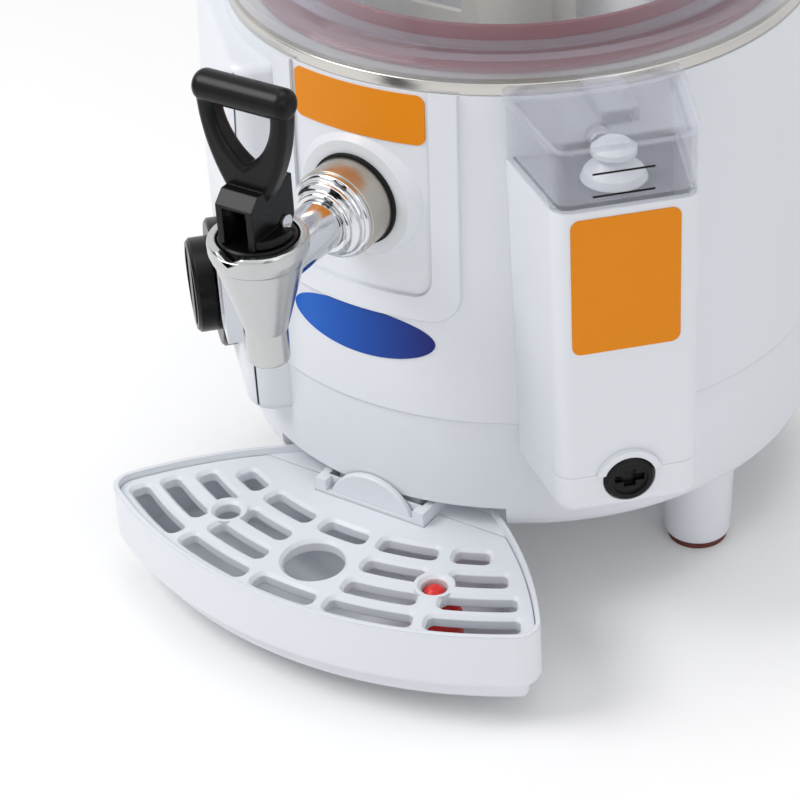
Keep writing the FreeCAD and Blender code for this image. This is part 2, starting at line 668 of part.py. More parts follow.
def make_lid():
    plate = LID_BASE + LID_THICK
    skirt = BOWL_R - BOWL_WALL - EASY
    return turned([
        (0, LID_BASE + LID_CROWN), (60, LID_BASE + LID_CROWN * 0.8), (100, LID_BASE + LID_CROWN * 0.3),
        (skirt - 2.2, LID_BASE), (skirt - 2.2, LID_BASE - LID_SKIRT), (skirt, LID_BASE - LID_SKIRT),
        (skirt, LID_BASE), (BOWL_RIM_R + 1, LID_BASE), (BOWL_RIM_R + 1, plate - 1),
        (BOWL_RIM_R, plate), (100, plate + LID_CROWN * 0.3), (60, plate + LID_CROWN * 0.8),
        (0, plate + LID_CROWN)])


def make_lid_knob():
    base = LID_BASE + LID_THICK + LID_CROWN
    return turned([(0, base), (9, base), (9, base + 5), (LID_KNOB_R, base + 10),
                   (LID_KNOB_R, base + LID_KNOB_RISE - 4), (LID_KNOB_R - 4, base + LID_KNOB_RISE),
                   (0, base + LID_KNOB_RISE)])


GEARBOX_LOW = STAND_TOP_Z + STAND_THICK
GEAR_LOW = GEARBOX_LOW + GEARBOX_WALL + 2.0
GEAR_HIGH = GEAR_LOW + GEAR_FACE
GEARBOX_HIGH = GEARBOX_LOW + GEARBOX_WALL + GEARBOX_INSIDE
GEAR_CENTRES = GEAR_MODULE * (GEAR_TEETH + PINION_TEETH) / 2.0


def gear(teeth, low, high, turned_by, at):
    """Spur gear with straight flanks and a little backlash."""
    pitch = GEAR_MODULE * teeth / 2.0
    root, tip = pitch - 1.2 * GEAR_MODULE, pitch + 0.9 * GEAR_MODULE
    step = 360.0 / teeth
    slack = math.degrees(BACKLASH / 2.0 / pitch)
    points = []
    for tooth in range(teeth):
        middle = tooth * step + turned_by
        for radius, share in ((root, -0.36), (pitch, -0.25), (tip, -0.12),
                              (tip, 0.12), (pitch, 0.25), (root, 0.36)):
            side = slack if share < 0 else -slack
            a = math.radians(middle + share * step + side)
            points.append((at[0] + radius * math.cos(a), at[1] + radius * math.sin(a)))
    return prism(points, low, high)


def make_output_gear():
    """The large gear: a tooth points at the motor, along +Y."""
    wheel = gear(GEAR_TEETH, GEAR_LOW, GEAR_HIGH, 90.0, (0.0, 0.0))
    hub = cylinder(9, GEAR_HIGH, GEARBOX_HIGH - 0.5)
    return wheel.fuse(hub).cut(cylinder(SHAFT_R, GEAR_LOW - 1, GEAR_HIGH + 5))


def make_drive_shaft():
    return cylinder(SHAFT_R, GEARBOX_LOW + 0.6, COLUMN_TOP_Z + 10)


def make_pinion():
    """Motor shaft with its pinion: a gap between teeth points at the large gear."""
    at = (0.0, GEAR_CENTRES)
    wheel = gear(PINION_TEETH, GEAR_LOW, GEAR_HIGH, -90.0 + 180.0 / PINION_TEETH, at)
    return wheel.fuse(cylinder(MOTOR_SHAFT_R, STAND_TOP_Z - 12, GEAR_HIGH + 1.5, at))


def gearbox_outline(offset, low, high):
    big = cylinder(GEAR_CENTRES - 2.0 + offset, low, high)
    small = cylinder(10.0 + offset, low, high, (0.0, GEAR_CENTRES))
    reach = 10.0 + offset
    return big.multiFuse([small, block(-reach, reach, 0, GEAR_CENTRES, low, high)])


def make_gearbox_case():
    outer = gearbox_outline(GEARBOX_WALL, GEARBOX_LOW, GEARBOX_HIGH)
    case = outer.cut(gearbox_outline(0.0, GEARBOX_LOW + GEARBOX_WALL, GEARBOX_HIGH + 1))
    case = case.cut(cylinder(8.0, GEARBOX_LOW - 1, GEARBOX_LOW + GEARBOX_WALL + 1))
    return case.cut(cylinder(MOTOR_SHAFT_R + GAP, GEARBOX_LOW - 1, GEARBOX_LOW + GEARBOX_WALL + 1,
                             (0.0, GEAR_CENTRES)))


def make_gearbox_cover():
    cover = gearbox_outline(GEARBOX_WALL, GEARBOX_HIGH, GEARBOX_HIGH + 2.0)
    return cover.cut(cylinder(SHAFT_R + GAP, GEARBOX_HIGH - 1, GEARBOX_HIGH + 3))


def make_shaft_bushes():
    """Two plain bushes: in the gearbox floor and at the top of the column."""
    lower = tube(8.0, SHAFT_R + RUNNING, GEARBOX_LOW, GEARBOX_LOW + GEARBOX_WALL)
    upper = tube(COLUMN_R - POT_WALL, SHAFT_R + RUNNING, COLUMN_TOP_Z - 10, COLUMN_TOP_Z)
    return Part.makeCompound([lower, upper])


def make_motor_stand():
    low = BODY_BASE + SHELL_WALL + BASE_PLATE_THICK
    deck = block(-44, 44, -44, GEAR_CENTRES + 30, STAND_TOP_Z, STAND_TOP_Z + STAND_THICK)
    legs = [block(x - 5, x + 5, y - 5, y + 5, low, STAND_TOP_Z)
            for x in (-39, 39) for y in (-39, GEAR_CENTRES + 25)]
    stand = deck.multiFuse(legs)
    stand = stand.cut(cylinder(SHAFT_R + 4, STAND_TOP_Z - 1, STAND_TOP_Z + 5))
    return stand.cut(cylinder(MOTOR_SHAFT_R + 6, STAND_TOP_Z - 1, STAND_TOP_Z + 5,
                              (0.0, GEAR_CENTRES)))


def make_motor():
    at = (0.0, GEAR_CENTRES)
    can = cylinder(MOTOR_R, MOTOR_BASE_Z, STAND_TOP_Z, at)
    can = round_level(can, 2.5, MOTOR_BASE_Z)
    return can.cut(cylinder(MOTOR_SHAFT_R + RUNNING, STAND_TOP_Z - 13, STAND_TOP_Z + 1, at))


def make_base_plate():
    low = BODY_BASE + SHELL_WALL
    plate = cylinder(BASE_PLATE_R, low, low + BASE_PLATE_THICK)
    return plate.cut(cylinder(12, low - 1, low + 5))


def make_hub():
    """Sleeve over the column, closed at its top and driven by the shaft."""
    top = COLUMN_TOP_Z + 10
    sleeve = tube(HUB_R, HUB_BORE_R, BLADE_LOW_Z, top)
    cap = cylinder(HUB_R, COLUMN_TOP_Z + 2, top + 3)
    cap = round_level(cap, 4.0, top + 3)
    return sleeve.fuse(cap).cut(cylinder(SHAFT_R, COLUMN_TOP_Z - 1, top))


def make_blades():
    """Two perforated blades that sweep the pot close to its floor and wall."""
    blades = []
    for side in (-1, 1):
        blade = block(HUB_R, BLADE_REACH, -BLADE_THICK / 2, BLADE_THICK / 2, BLADE_LOW_Z, BLADE_HIGH_Z)
        slope = prism([(HUB_R + 12, -5), (BLADE_REACH + 1, -5), (BLADE_REACH + 1, 5), (HUB_R + 12, 5)],
                      BLADE_LOW_Z + 34, BLADE_HIGH_Z + 1)
        blade = blade.cut(slope)
        for column in range(3):
            at = V(HUB_R + 16 + 17 * column, -5, BLADE_LOW_Z + 17)
            blade = blade.cut(Part.makeCylinder(5.5, 10, at, V(0, 1, 0)))
        if side < 0:
            blade.rotate(V(0, 0, 0), V(0, 0, 1), 180)
        blades.append(blade)
    return Part.makeCompound(blades)


def front_turned(points):
    """Solid of revolution about the tap pipe: points are (radius, distance out)."""
    return outward(turned(points), 0, TAP_Z)


FERRULE_BACK = TAP_SEAT_Y + GASKET_THICK
FERRULE_FRONT = FERRULE_BACK + FERRULE_LONG


def make_tap_body():
    at = (0.0, -TAP_AXIS_Y)
    outer = turned([
        (0, NOZZLE_Z), (NOZZLE_R - 0.8, NOZZLE_Z), (NOZZLE_R, NOZZLE_Z + 1.2),
        (NOZZLE_R, NOZZLE_Z + NOZZLE_STRAIGHT), (CUP_CREASE_R, CUP_CREASE_Z),
        (CUP_RIM_R - 0.3, CUP_CREASE_Z + 4), (CUP_RIM_R, CUP_RIM_Z - 1), (CUP_RIM_R - 0.8, CUP_RIM_Z),
        (0, CUP_RIM_Z)])
    outer.translate(V(0, at[1], 0))
    pipe = outward(cylinder(PIPE_R, PIPE_TAIL + GAP, TAP_AXIS_Y), 0, TAP_Z)
    body = outer.fuse(pipe)
    chamber = turned([
        (0, NOZZLE_Z - 1), (NOZZLE_BORE_R, NOZZLE_Z - 1), (NOZZLE_BORE_R, SEAT_Z - 0.1),
        (CHAMBER_R, SEAT_Z), (CHAMBER_R, CUP_RIM_Z - 6), (CUP_RECESS_R, CUP_RIM_Z - 5),
        (CUP_RECESS_R, CUP_RIM_Z + 1), (0, CUP_RIM_Z + 1)])
    chamber.translate(V(0, at[1], 0))
    bore = outward(cylinder(PIPE_BORE_R, PIPE_TAIL - 1, TAP_AXIS_Y), 0, TAP_Z)
    notch = prism([(-5.2, -TAP_AXIS_Y - 15), (5.2, -TAP_AXIS_Y - 15), (2.4, -TAP_AXIS_Y - 25),
                   (-2.4, -TAP_AXIS_Y - 25)], CUP_RIM_Z - 3, CUP_RIM_Z + 2)
    return body.cut(chamber).cut(bore).cut(notch)


def make_gasket():
    return front_turned([(PIPE_R + GAP, TAP_SEAT_Y), (GASKET_R, TAP_SEAT_Y),
                         (GASKET_R, FERRULE_BACK), (PIPE_R + GAP, FERRULE_BACK)])


def make_ferrule():
    return front_turned([(PIPE_R + RUNNING, FERRULE_BACK), (FERRULE_R, FERRULE_BACK),
                         (FERRULE_R, FERRULE_FRONT - 0.5), (FERRULE_R - 0.5, FERRULE_FRONT),
                         (PIPE_R + RUNNING, FERRULE_FRONT)])


def make_collar():
    """Stepped collar that covers the end of the ferrule."""
    bore = PIPE_R + RUNNING
    points = [(bore, FERRULE_FRONT)]
    out = FERRULE_FRONT
    for radius, length in COLLAR_STEPS:
        points += [(radius, out), (radius, out + length - 1.0), (radius - 1.0, out + length)]
        out += length
    points.append((bore, out))
    return front_turned(points)


def make_tap_nut():
    corners = [(NUT_HALF_FLATS / math.cos(math.pi / 6) * math.cos(math.radians(60 * i)),
                NUT_HALF_FLATS / math.cos(math.pi / 6) * math.sin(math.radians(60 * i)))
               for i in range(6)]
    nut = prism(corners, NUT_FACE_Y - NUT_THICK, NUT_FACE_Y)
    nut = nut.cut(cylinder(PIPE_R + RUNNING, NUT_FACE_Y - AHEAD, NUT_FACE_Y + 1))
    return outward(nut, 0, TAP_Z)


def make_bonnet():
    """Plug in the cup, with a lug that carries the lever's pin."""
    bonnet = turned([
        (STEM_R + RUNNING, CUP_RIM_Z - 12), (CHAMBER_R - RUNNING, CUP_RIM_Z - 12),
        (CHAMBER_R - RUNNING, CUP_RIM_Z - 4.6), (BONNET_R, CUP_RIM_Z - 4.6),
        (BONNET_R, BONNET_TOP_Z - 0.8), (BONNET_R - 0.8, BONNET_TOP_Z), (STEM_R + RUNNING, BONNET_TOP_Z)])
    bonnet.translate(V(0, -TAP_AXIS_Y, 0))
    half = SLOT_HALF_WIDTH - EASY
    lug = Part.makeCylinder(3.6, 2 * half, V(-half, -PIVOT_Y, PIVOT_Z), V(1, 0, 0))
    stalk = block(-half, half, -PIVOT_Y - 2.6, -PIVOT_Y + 2.6, BONNET_TOP_Z - 1, PIVOT_Z)
    stem_way = cylinder(STEM_R + RUNNING, CUP_RIM_Z - 13, PIVOT_Z + 10, (0.0, -TAP_AXIS_Y))
    pin = Part.makeCylinder(PIN_R, 60, V(-30, -PIVOT_Y, PIVOT_Z), V(1, 0, 0))
    return bonnet.multiFuse([lug, stalk]).cut(stem_way).cut(pin)


def make_lever_pin():
    reach = BLOCK_HALF_WIDTH + GAP
    pin = Part.makeCylinder(PIN_R, 2 * reach, V(-reach, -PIVOT_Y, PIVOT_Z), V(1, 0, 0))
    heads = [Part.makeCylinder(PIN_HEAD_R, 1.2, V(x, -PIVOT_Y, PIVOT_Z), V(1, 0, 0))
             for x in (-reach - 1.2, reach)]
    return pin.multiFuse(heads)


def make_plunger():
    """Stem with the valve disc below and a cross head in the lever's fork."""
    return turned_at([(0, SEAT_Z + 3.2), (7.6, SEAT_Z + 3.2), (7.6, SEAT_Z + 5.0),
                      (STEM_R, SEAT_Z + 6.0), (STEM_R, 233.0), (4.6, 234.0), (4.6, 237.0),
                      (3.6, 238.0), (0, 238.0)])


def turned_at(points):
    """Solid of revolution about the tap's upright axis."""
    solid = turned(points)
    solid.translate(V(0, -TAP_AXIS_Y, 0))
    return solid


def make_plunger_seal():
    return turned_at([(0, SEAT_Z + 0.05), (7.8, SEAT_Z + 0.05), (7.8, SEAT_Z + 3.2), (0, SEAT_Z + 3.2)])


def make_spring():
    """Coil spring between the bonnet and the valve disc."""
    low, high = SEAT_Z + 6.2, CUP_RIM_Z - 12.2
    rise = high - low - 2 * SPRING_WIRE_R
    helix = Part.makeHelix(rise / SPRING_TURNS, rise, SPRING_R)
    wire_face = Part.Wire(Part.Circle(V(SPRING_R, 0, 0), V(0, 1, 0), SPRING_WIRE_R).toShape())
    spring = Part.Wire(helix).makePipeShell([wire_face], True, True)
    spring.translate(V(0, -TAP_AXIS_Y, low + SPRING_WIRE_R))
    return spring


def upright_plate(edges, back, front):
    """Solid from a closed outline in the XZ plane, extruded towards the front."""
    face = Part.Face(Part.Wire(edges))
    face.translate(V(0, -back, 0))
    return face.extrude(V(0, back - front, 0))


def make_handle_loop():
    """Two bowed arms rising from the block to the grip bar, as one softened plate."""
    def at(x, z):
        return V(x, 0, z)

    foot, waist, crown = BLOCK_TOP_Z - 5.0, BAR_Z - 27.0, BAR_Z
    edges = [Part.LineSegment(at(-BLOCK_HALF_WIDTH, foot), at(BLOCK_HALF_WIDTH, foot)).toShape()]
    for side in (1, -1):
        edges += [
            Part.Arc(at(side * BLOCK_HALF_WIDTH, foot), at(side * (LOOP_HALF - 4.4), waist),
                     at(side * LOOP_HALF, crown)).toShape()]
    edges.append(Part.LineSegment(at(-LOOP_HALF, crown), at(LOOP_HALF, crown)).toShape())
    plate = upright_plate(Part.__sortEdges__(edges), TAP_AXIS_Y - ARM_R, TAP_AXIS_Y + ARM_R)
    low, high = EYE_BASE_Z, BAR_Z + 1.0
    eye = [Part.LineSegment(at(-EYE_HALF, high), at(EYE_HALF, high)).toShape()]
    for side in (1, -1):
        eye.append(Part.Arc(at(0, low), at(side * EYE_HALF * 0.8, (low + high) / 2.0 - 4.0),
                            at(side * EYE_HALF, high)).toShape())
    hole = upright_plate(Part.__sortEdges__(eye), TAP_AXIS_Y - 50, TAP_AXIS_Y + 50)
    plate = plate.cut(hole)
    soft = [e for e in plate.Edges if e.BoundBox.YLength < 1e-3 and e.Length > 12.0
            and e.BoundBox.ZLength > 5.0]
    return plate.makeFillet(ARM_R * 0.62, soft)


def make_grip_bar():
    """Round bar with domed ends across the top of the handle."""
    bar = Part.makeCylinder(BAR_R, 2 * BAR_HALF, V(-BAR_HALF, -TAP_AXIS_Y, BAR_Z), V(1, 0, 0))
    return bar.makeFillet(BAR_R * 0.7, [e for e in bar.Edges if e.BoundBox.XLength < 1e-3])


def make_lever():
    """Forked block, half skirt, handle loop and grip bar."""
    base = block(-BLOCK_HALF_WIDTH, BLOCK_HALF_WIDTH, -BLOCK_FRONT, -BLOCK_BACK,
                 BLOCK_BASE_Z, BLOCK_TOP_Z)
    edges = [e for e in base.Edges
             if abs(e.CenterOfMass.y + BLOCK_BACK) < 0.1 and abs(e.CenterOfMass.z - BLOCK_BASE_Z) < 0.1]
    base = base.makeFillet(5.6, edges)
    edges = [e for e in base.Edges
             if abs(e.CenterOfMass.y + BLOCK_FRONT) < 0.1 and abs(e.CenterOfMass.z - BLOCK_TOP_Z) < 0.1]
    base = base.makeChamfer(5.0, edges)
    skirt = cylinder(SKIRT_R, BLOCK_BASE_Z, BLOCK_BASE_Z + 3.6, (0.0, -TAP_AXIS_Y))
    skirt = skirt.cut(block(-30, 30, -PIVOT_Y + 1.6, 0, 0, 300))
    lever = base.multiFuse([skirt, make_handle_loop(), make_grip_bar()])
    inside = SLOT_HALF_WIDTH
    slot = block(-inside, inside, -BLOCK_FRONT - 9, -PIVOT_Y - 2.2, BLOCK_BASE_Z - 1, BLOCK_TOP_Z - 6)
    way = block(-inside, inside, -BLOCK_FRONT - 9, -BLOCK_BACK + 1, BLOCK_BASE_Z - 1, PIVOT_Z + 5.5)
    hole = Part.makeCylinder(PIN_R + RUNNING, 60, V(-30, -PIVOT_Y, PIVOT_Z), V(1, 0, 0))
    for side in (-1, 1):
        start = BLOCK_HALF_WIDTH if side > 0 else -BLOCK_HALF_WIDTH - 8
        heads = Part.makeCylinder(PIN_HEAD_R + GAP, 8, V(start, -PIVOT_Y, PIVOT_Z), V(1, 0, 0))
        lever = lever.cut(heads)
    return lever.cut(slot.fuse(way)).cut(hole)


def tray_wire(inset):
    """Plan outline of the tray moved in by a wall: front arc, bulged sides, straight back."""
    radius = TRAY_FRONT_R - inset
    corner_x = TRAY_CORNER_X - inset * 1.2
    front = V(corner_x, -ARC_CENTRE_Y - math.sqrt(radius ** 2 - corner_x ** 2), 0)
    tail = V(TRAY_BACK_X - inset * 1.41, -TRAY_BACK_Y, 0)
    middle = (front + tail) * 0.5 + V(0.72, 0.69, 0) * TRAY_SIDE_BULGE
    mirrored = [V(-p.x, p.y, 0) for p in (front, middle, tail)]
    edges = [Part.Arc(mirrored[0], V(0, -ARC_CENTRE_Y - radius, 0), front).toShape(),
             Part.Arc(front, middle, tail).toShape(),
             Part.LineSegment(tail, mirrored[2]).toShape(),
             Part.Arc(mirrored[2], mirrored[1], mirrored[0]).toShape()]
    return Part.Wire(edges)


def tray_prism(inset, low, high, back=TRAY_BACK_Y):
    """Prism over the tray's outline, cut off square at a distance from the axis."""
    face = Part.Face(tray_wire(inset))
    face.translate(V(0, 0, low))
    solid = face.extrude(V(0, 0, high - low))
    corner = max(TRAY_CORNER_ROUND - inset, 2.0)
    solid = round_upright(solid, corner, lambda p: p.y < -TRAY_BACK_Y - 30)
    if back > TRAY_BACK_Y:
        solid = solid.cut(block(-300, 300, -back, 0, low - 1, high + 1))
    return solid


def make_tray():
    band = tray_prism(0.0, TRAY_BAND_Z, TRAY_RIM_Z)
    band = round_level(band, 3.0, TRAY_BAND_Z, lambda p: p.y < -TRAY_BACK_Y - 1)
    tub = tray_prism(TRAY_STEP, TRAY_BASE_Z, TRAY_BAND_Z + 1, TUB_BACK_Y)
    tub = round_level(tub, 4.0, TRAY_BASE_Z)
    top = TRAY_RIM_Z + 1
    rim_way = tray_prism(TRAY_WALL, GRILLE_TOP_Z - GRILLE_THICK, top, GRILLE_BACK_Y)
    upper = tray_prism(TRAY_WALL + TRAY_LEDGE, TRAY_BAND_Z + TRAY_WALL, top, TUB_BACK_Y + TRAY_WALL)
    lower = tray_prism(TRAY_STEP + TRAY_WALL, TRAY_BASE_Z + TRAY_WALL, TRAY_BAND_Z + 5,
                       TUB_BACK_Y + TRAY_WALL)
    deck = tray_prism(TRAY_WALL, GRILLE_TOP_Z, top + 1).fuse(
        tray_prism(TRAY_WALL + 12, GRILLE_TOP_Z, top + 1))
    deck = deck.fuse(block(-TRAY_BACK_X + 5, TRAY_BACK_X - 5, -TRAY_BACK_Y - 3, -TRAY_BACK_Y + 3,
                           GRILLE_TOP_Z, top + 1))
    under = tray_prism(TRAY_WALL + 1, TRAY_BAND_Z - 1, GRILLE_TOP_Z - GRILLE_THICK - 2)
    under = under.cut(block(-200, 200, -300, -TUB_BACK_Y + 0.01, 0, 100))
    under = under.fuse(block(-TRAY_BACK_X + 5, TRAY_BACK_X - 5, -TRAY_BACK_Y - 3, -TRAY_BACK_Y + 3,
                             TRAY_BAND_Z - 1, GRILLE_TOP_Z - GRILLE_THICK - 2))
    tray = band.fuse(tub).cut(rim_way).cut(upper).cut(lower).cut(deck).cut(under)
    lug = block(-LUG_HALF_WIDTH, LUG_HALF_WIDTH, -LUG_FRONT_Y, -TRAY_BACK_Y - 1,
                GRILLE_TOP_Z - LUG_FLOOR, LUG_TOP_Z)
    way = block(-LUG_HALF_WIDTH + LUG_WALL, LUG_HALF_WIDTH - LUG_WALL, -LUG_FRONT_Y + 6, -100,
                GRILLE_TOP_Z, 100)
    lug = lug.cut(way).cut(block(-TONGUE_RADIUS - 2, TONGUE_RADIUS + 2, -LUG_FRONT_Y - 1,
                                 -LUG_FRONT_Y + 5, GRILLE_TOP_Z + 1.5, 100))
    return tray.fuse(lug)


def make_tongue():
    """Half-moon finger tab at the front of the tray's catch."""
    low = GRILLE_TOP_Z + 1.5
    drop = (TONGUE_RADIUS ** 2 - TONGUE_RISE ** 2) / (2 * TONGUE_RISE)
    radius = TONGUE_RISE + drop
    disc = Part.makeCylinder(radius, TONGUE_THICK, V(0, -LUG_FRONT_Y + 1.0, low - drop), V(0, 1, 0))
    tongue = disc.cut(block(-50, 50, -200, -100, low - 80, low))
    edges = [e for e in tongue.Edges if e.BoundBox.YMax < -LUG_FRONT_Y + 1.01 and e.BoundBox.ZMax > low + 5]
    return tongue.makeFillet(1.0, edges)


def make_tray_rail():
    """Rail under the body that the tray's catch slides onto."""
    rail = block(-22, 22, -LUG_FRONT_Y + 9, -POCKET_IN_R - 0.5, LUG_TOP_Z - 4.5, POCKET_TOP_Z)
    return rail.common(cylinder(SEAM_R - SEAM_STEP - 1, 0, 200))


def slot_prism(radius, first, last, half, low, high):
    """Arc-shaped prism with rounded corners; first and last are the angles of its ends."""
    def at(r, angle):
        a = math.radians(angle)
        return V(r * math.sin(a), -ARC_CENTRE_Y - r * math.cos(a), low)

    middle = (first + last) / 2.0
    outer, inner = radius + half, radius - half
    edges = [Part.Arc(at(outer, first), at(outer, middle), at(outer, last)).toShape(),
             Part.LineSegment(at(outer, last), at(inner, last)).toShape(),
             Part.Arc(at(inner, last), at(inner, middle), at(inner, first)).toShape(),
             Part.LineSegment(at(inner, first), at(outer, first)).toShape()]
    solid = Part.Face(Part.Wire(edges)).extrude(V(0, 0, high - low))
    return round_upright(solid, SLOT_CORNER + half - SLOT_WIDTH / 2.0, lambda p: True)


def slot_cutter(radius, first, last, low, high):
    """Slot through the grille with a flared upper edge, clear of the rings round the holes."""
    half = SLOT_WIDTH / 2.0
    spread = math.degrees(SLOT_CHAMFER / radius)
    straight = slot_prism(radius, first, last, half, low - 1, high + 1)
    wide = slot_prism(radius, first - spread, last + spread, half + SLOT_CHAMFER,
                      high - SLOT_CHAMFER, high)
    edges = [e for e in wide.Edges if abs(e.BoundBox.ZMin - high + SLOT_CHAMFER) < 1e-3
             and e.BoundBox.ZLength < 1e-3]
    wide = wide.makeChamfer(SLOT_CHAMFER - 0.02, edges)
    return straight.fuse(wide)


def hole_cutter(x, y, radius, low, high):
    """Round hole through the grille with a flared upper edge."""
    hole = turned([(0, low - 1), (radius, low - 1), (radius, high - SLOT_CHAMFER),
                   (radius + SLOT_CHAMFER, high), (0, high)])
    hole.translate(V(x, -y, 0))
    return hole


def make_grille():
    low, high = GRILLE_TOP_Z - GRILLE_THICK, GRILLE_TOP_Z
    plate = tray_prism(TRAY_WALL + GAP, low, high, GRILLE_BACK_Y + GAP)
    x, y, r = SMALL_HOLE
    rings = [cylinder(r + HOLE_LAND, low - 2, high + 2, (side * x, -y)) for side in (-1, 1)]
    rings.append(cylinder(BIG_HOLE[2] + HOLE_LAND, low - 2, high + 2, (0.0, -BIG_HOLE[1])))
    rings = Part.makeCompound(rings)
    cutters = [slot_cutter(radius, first, last, low, high).cut(rings)
               for radius, spans in SLOT_ROWS for first, last in spans]
    cutters += [hole_cutter(side * x, y, r, low, high) for side in (-1, 1)]
    cutters.append(hole_cutter(*BIG_HOLE, low, high))
    reach = LUG_HALF_WIDTH + GAP
    cutters.append(block(-reach, reach, -LUG_FRONT_Y - GAP, -100, low - 1, high + 1))
    return plate.cut(cutters)


def make_tray_float():
    """Red float whose pin rises through the small hole as the tray fills."""
    x, y, r = SMALL_HOLE
    low = TRAY_BASE_Z + TRAY_WALL + 0.3
    neck, crown = r - 1.3, GRILLE_TOP_Z - 1.0
    float_body = turned([(0, low), (TRAY_FLOAT_R, low), (TRAY_FLOAT_R, low + TRAY_FLOAT_TALL - 2),
                         (TRAY_FLOAT_R - 2, low + TRAY_FLOAT_TALL), (neck, low + TRAY_FLOAT_TALL),
                         (neck, crown - 2.5), (neck - 2.0, crown - 0.6), (0, crown)])
    float_body.translate(V(x, -y, 0))
    return float_body


def body_cone(clearance, low, high):
    """Upper shell's outer form, grown by a clearance, between two heights."""
    return turned([(0, low), (body_radius(low) + clearance, low),
                   (body_radius(high) + clearance, high), (0, high)])


def make_window_tank():
    """Clear open tank that stands on the white housing, hollowed to follow the body."""
    low, high = WINDOW_BASE_Z, WINDOW_TOP_Z
    outer = swung(water_prism(WINDOW_INSET, low, high), WATER_ANGLE)
    inner = swung(water_prism(WINDOW_INSET + WINDOW_WALL, low + WINDOW_WALL, high + 1, WATER_BACK - 1),
                  WATER_ANGLE)
    inner = inner.cut(body_cone(GAP + WINDOW_WALL, low - 2, high + 3))
    tank = outer.cut(inner).cut(body_cone(GAP, low - 2, high + 3))
    return tank.cut(outward_hole(FILL_PIPE_R + RUNNING, TOP_R - AHEAD, TOP_R + 11, WATER_ANGLE, FILL_PIPE_Z))


def make_water_lid():
    """Clear hollow lid with a standing grip and a rim that sits inside the tank."""
    low = WINDOW_TOP_Z + 0.1
    high = low + WATER_LID_THICK
    inner = WINDOW_INSET + WINDOW_WALL + EASY
    plate = water_prism(-0.4, low, high)
    plate = round_level(plate, 1.2, high, lambda p: p.y < -WATER_BACK - 1)
    plate = plate.cut(water_prism(inner + WATER_LID_SKIN, low - 1, high - WATER_LID_SKIN))
    rim = water_prism(inner, low - WATER_LID_RIM, low + 0.5).cut(
        water_prism(inner + WATER_LID_SKIN, low - WATER_LID_RIM - 1, low + 1))
    back, front = -KEY_BACK, -KEY_FRONT
    grip = block(-KEY_HALF_WIDTH, KEY_HALF_WIDTH, front, back, high - 0.5, high + KEY_RISE)
    pocket = block(-KEY_HALF_WIDTH + 2, KEY_HALF_WIDTH - 2, front + 2, back - 2,
                   low - 1, high + KEY_RISE - 2)
    lid = swung(plate.fuse(rim).fuse(grip).cut(pocket), WATER_ANGLE)
    lid = lid.cut(body_cone(EASY + WINDOW_WALL + GAP, low - 10, low))
    return lid.cut(cylinder(TOP_R + EASY, low - 10, high + 20))


def make_sensor_base():
    """White dome on the tank floor that guides the float's stem."""
    low = WINDOW_BASE_Z + WINDOW_WALL
    dome = turned([(FLOAT_STEM_R + GAP, low), (SENSOR_R, low), (SENSOR_R - 1.5, low + 3.5),
                   (FLOAT_STEM_R + 3, low + SENSOR_RISE), (FLOAT_STEM_R + GAP, low + SENSOR_RISE)])
    at = on_ring(SENSOR_AT, WATER_ANGLE)
    dome.translate(V(at[0], at[1], 0))
    return dome


def make_level_float():
    """Mushroom float on its stem, at the low end of its travel."""
    low = WINDOW_BASE_Z + WINDOW_WALL
    cap = low + SENSOR_RISE + 0.5
    shape = turned([(0, low + 0.5), (FLOAT_STEM_R, low + 0.5), (FLOAT_STEM_R, cap),
                    (FLOAT_R, cap + 1.2), (FLOAT_R, cap + 3.6), (FLOAT_R - 3, cap + 6), (0, cap + 6.6)])
    at = on_ring(SENSOR_AT, WATER_ANGLE)
    shape.translate(V(at[0], at[1], 0))
    return shape


def make_drain_plug():
    """Round plug with a slot, on the front of the water box."""
    back = WATER_FRONT - 12
    plug = turned([(0, back), (DRAIN_PIPE_R - 1.4, back), (DRAIN_PIPE_R - 1.4, WATER_FRONT - 3),
                   (DRAIN_R, WATER_FRONT - 3), (DRAIN_R, WATER_FRONT + 0.6),
                   (DRAIN_R - 1.2, WATER_FRONT + 1.6), (0, WATER_FRONT + 1.6)])
    well = cylinder(DRAIN_R - 3.2, WATER_FRONT + 0.6, WATER_FRONT + 3)
    slot = block(-6.6, 6.6, -1.7, 1.7, WATER_FRONT - 2.0, WATER_FRONT + 3)
    cross = block(-2.6, 2.6, -4.2, 4.2, WATER_FRONT - 2.0, WATER_FRONT + 3)
    plug = plug.cut(well).cut(slot.fuse(cross))
    return outward(plug, WATER_ANGLE, DRAIN_Z)


def make_drain_seal():
    ring = tube(DRAIN_R - 1.5, DRAIN_PIPE_R - 1.4 + RUNNING, WATER_FRONT - 5.2, WATER_FRONT - 3.05)
    return outward(ring, WATER_ANGLE, DRAIN_Z)


def make_drain_pipe():
    """Pipe from the boiler floor to the seat behind the plug."""
    elbow = 84.0
    run = cylinder(DRAIN_PIPE_R, elbow, WATER_FRONT - 5.2)
    seat = cylinder(DRAIN_R - 1.0, WATER_FRONT - 8.2, WATER_FRONT - 5.2)
    outer = outward(run.fuse(seat), WATER_ANGLE, DRAIN_Z)
    at = on_ring(elbow, WATER_ANGLE)
    rise = cylinder(DRAIN_PIPE_R, DRAIN_Z, BOILER_BASE_Z, at)
    knee = Part.makeSphere(DRAIN_PIPE_R, V(at[0], at[1], DRAIN_Z))
    bore = outward(cylinder(DRAIN_PIPE_R - 1.2, elbow, WATER_FRONT - 5), WATER_ANGLE, DRAIN_Z)
    drop = cylinder(DRAIN_PIPE_R - 1.2, DRAIN_Z, BOILER_BASE_Z + 1, at)
    return outer.multiFuse([rise, knee]).cut(bore.fuse(drop))


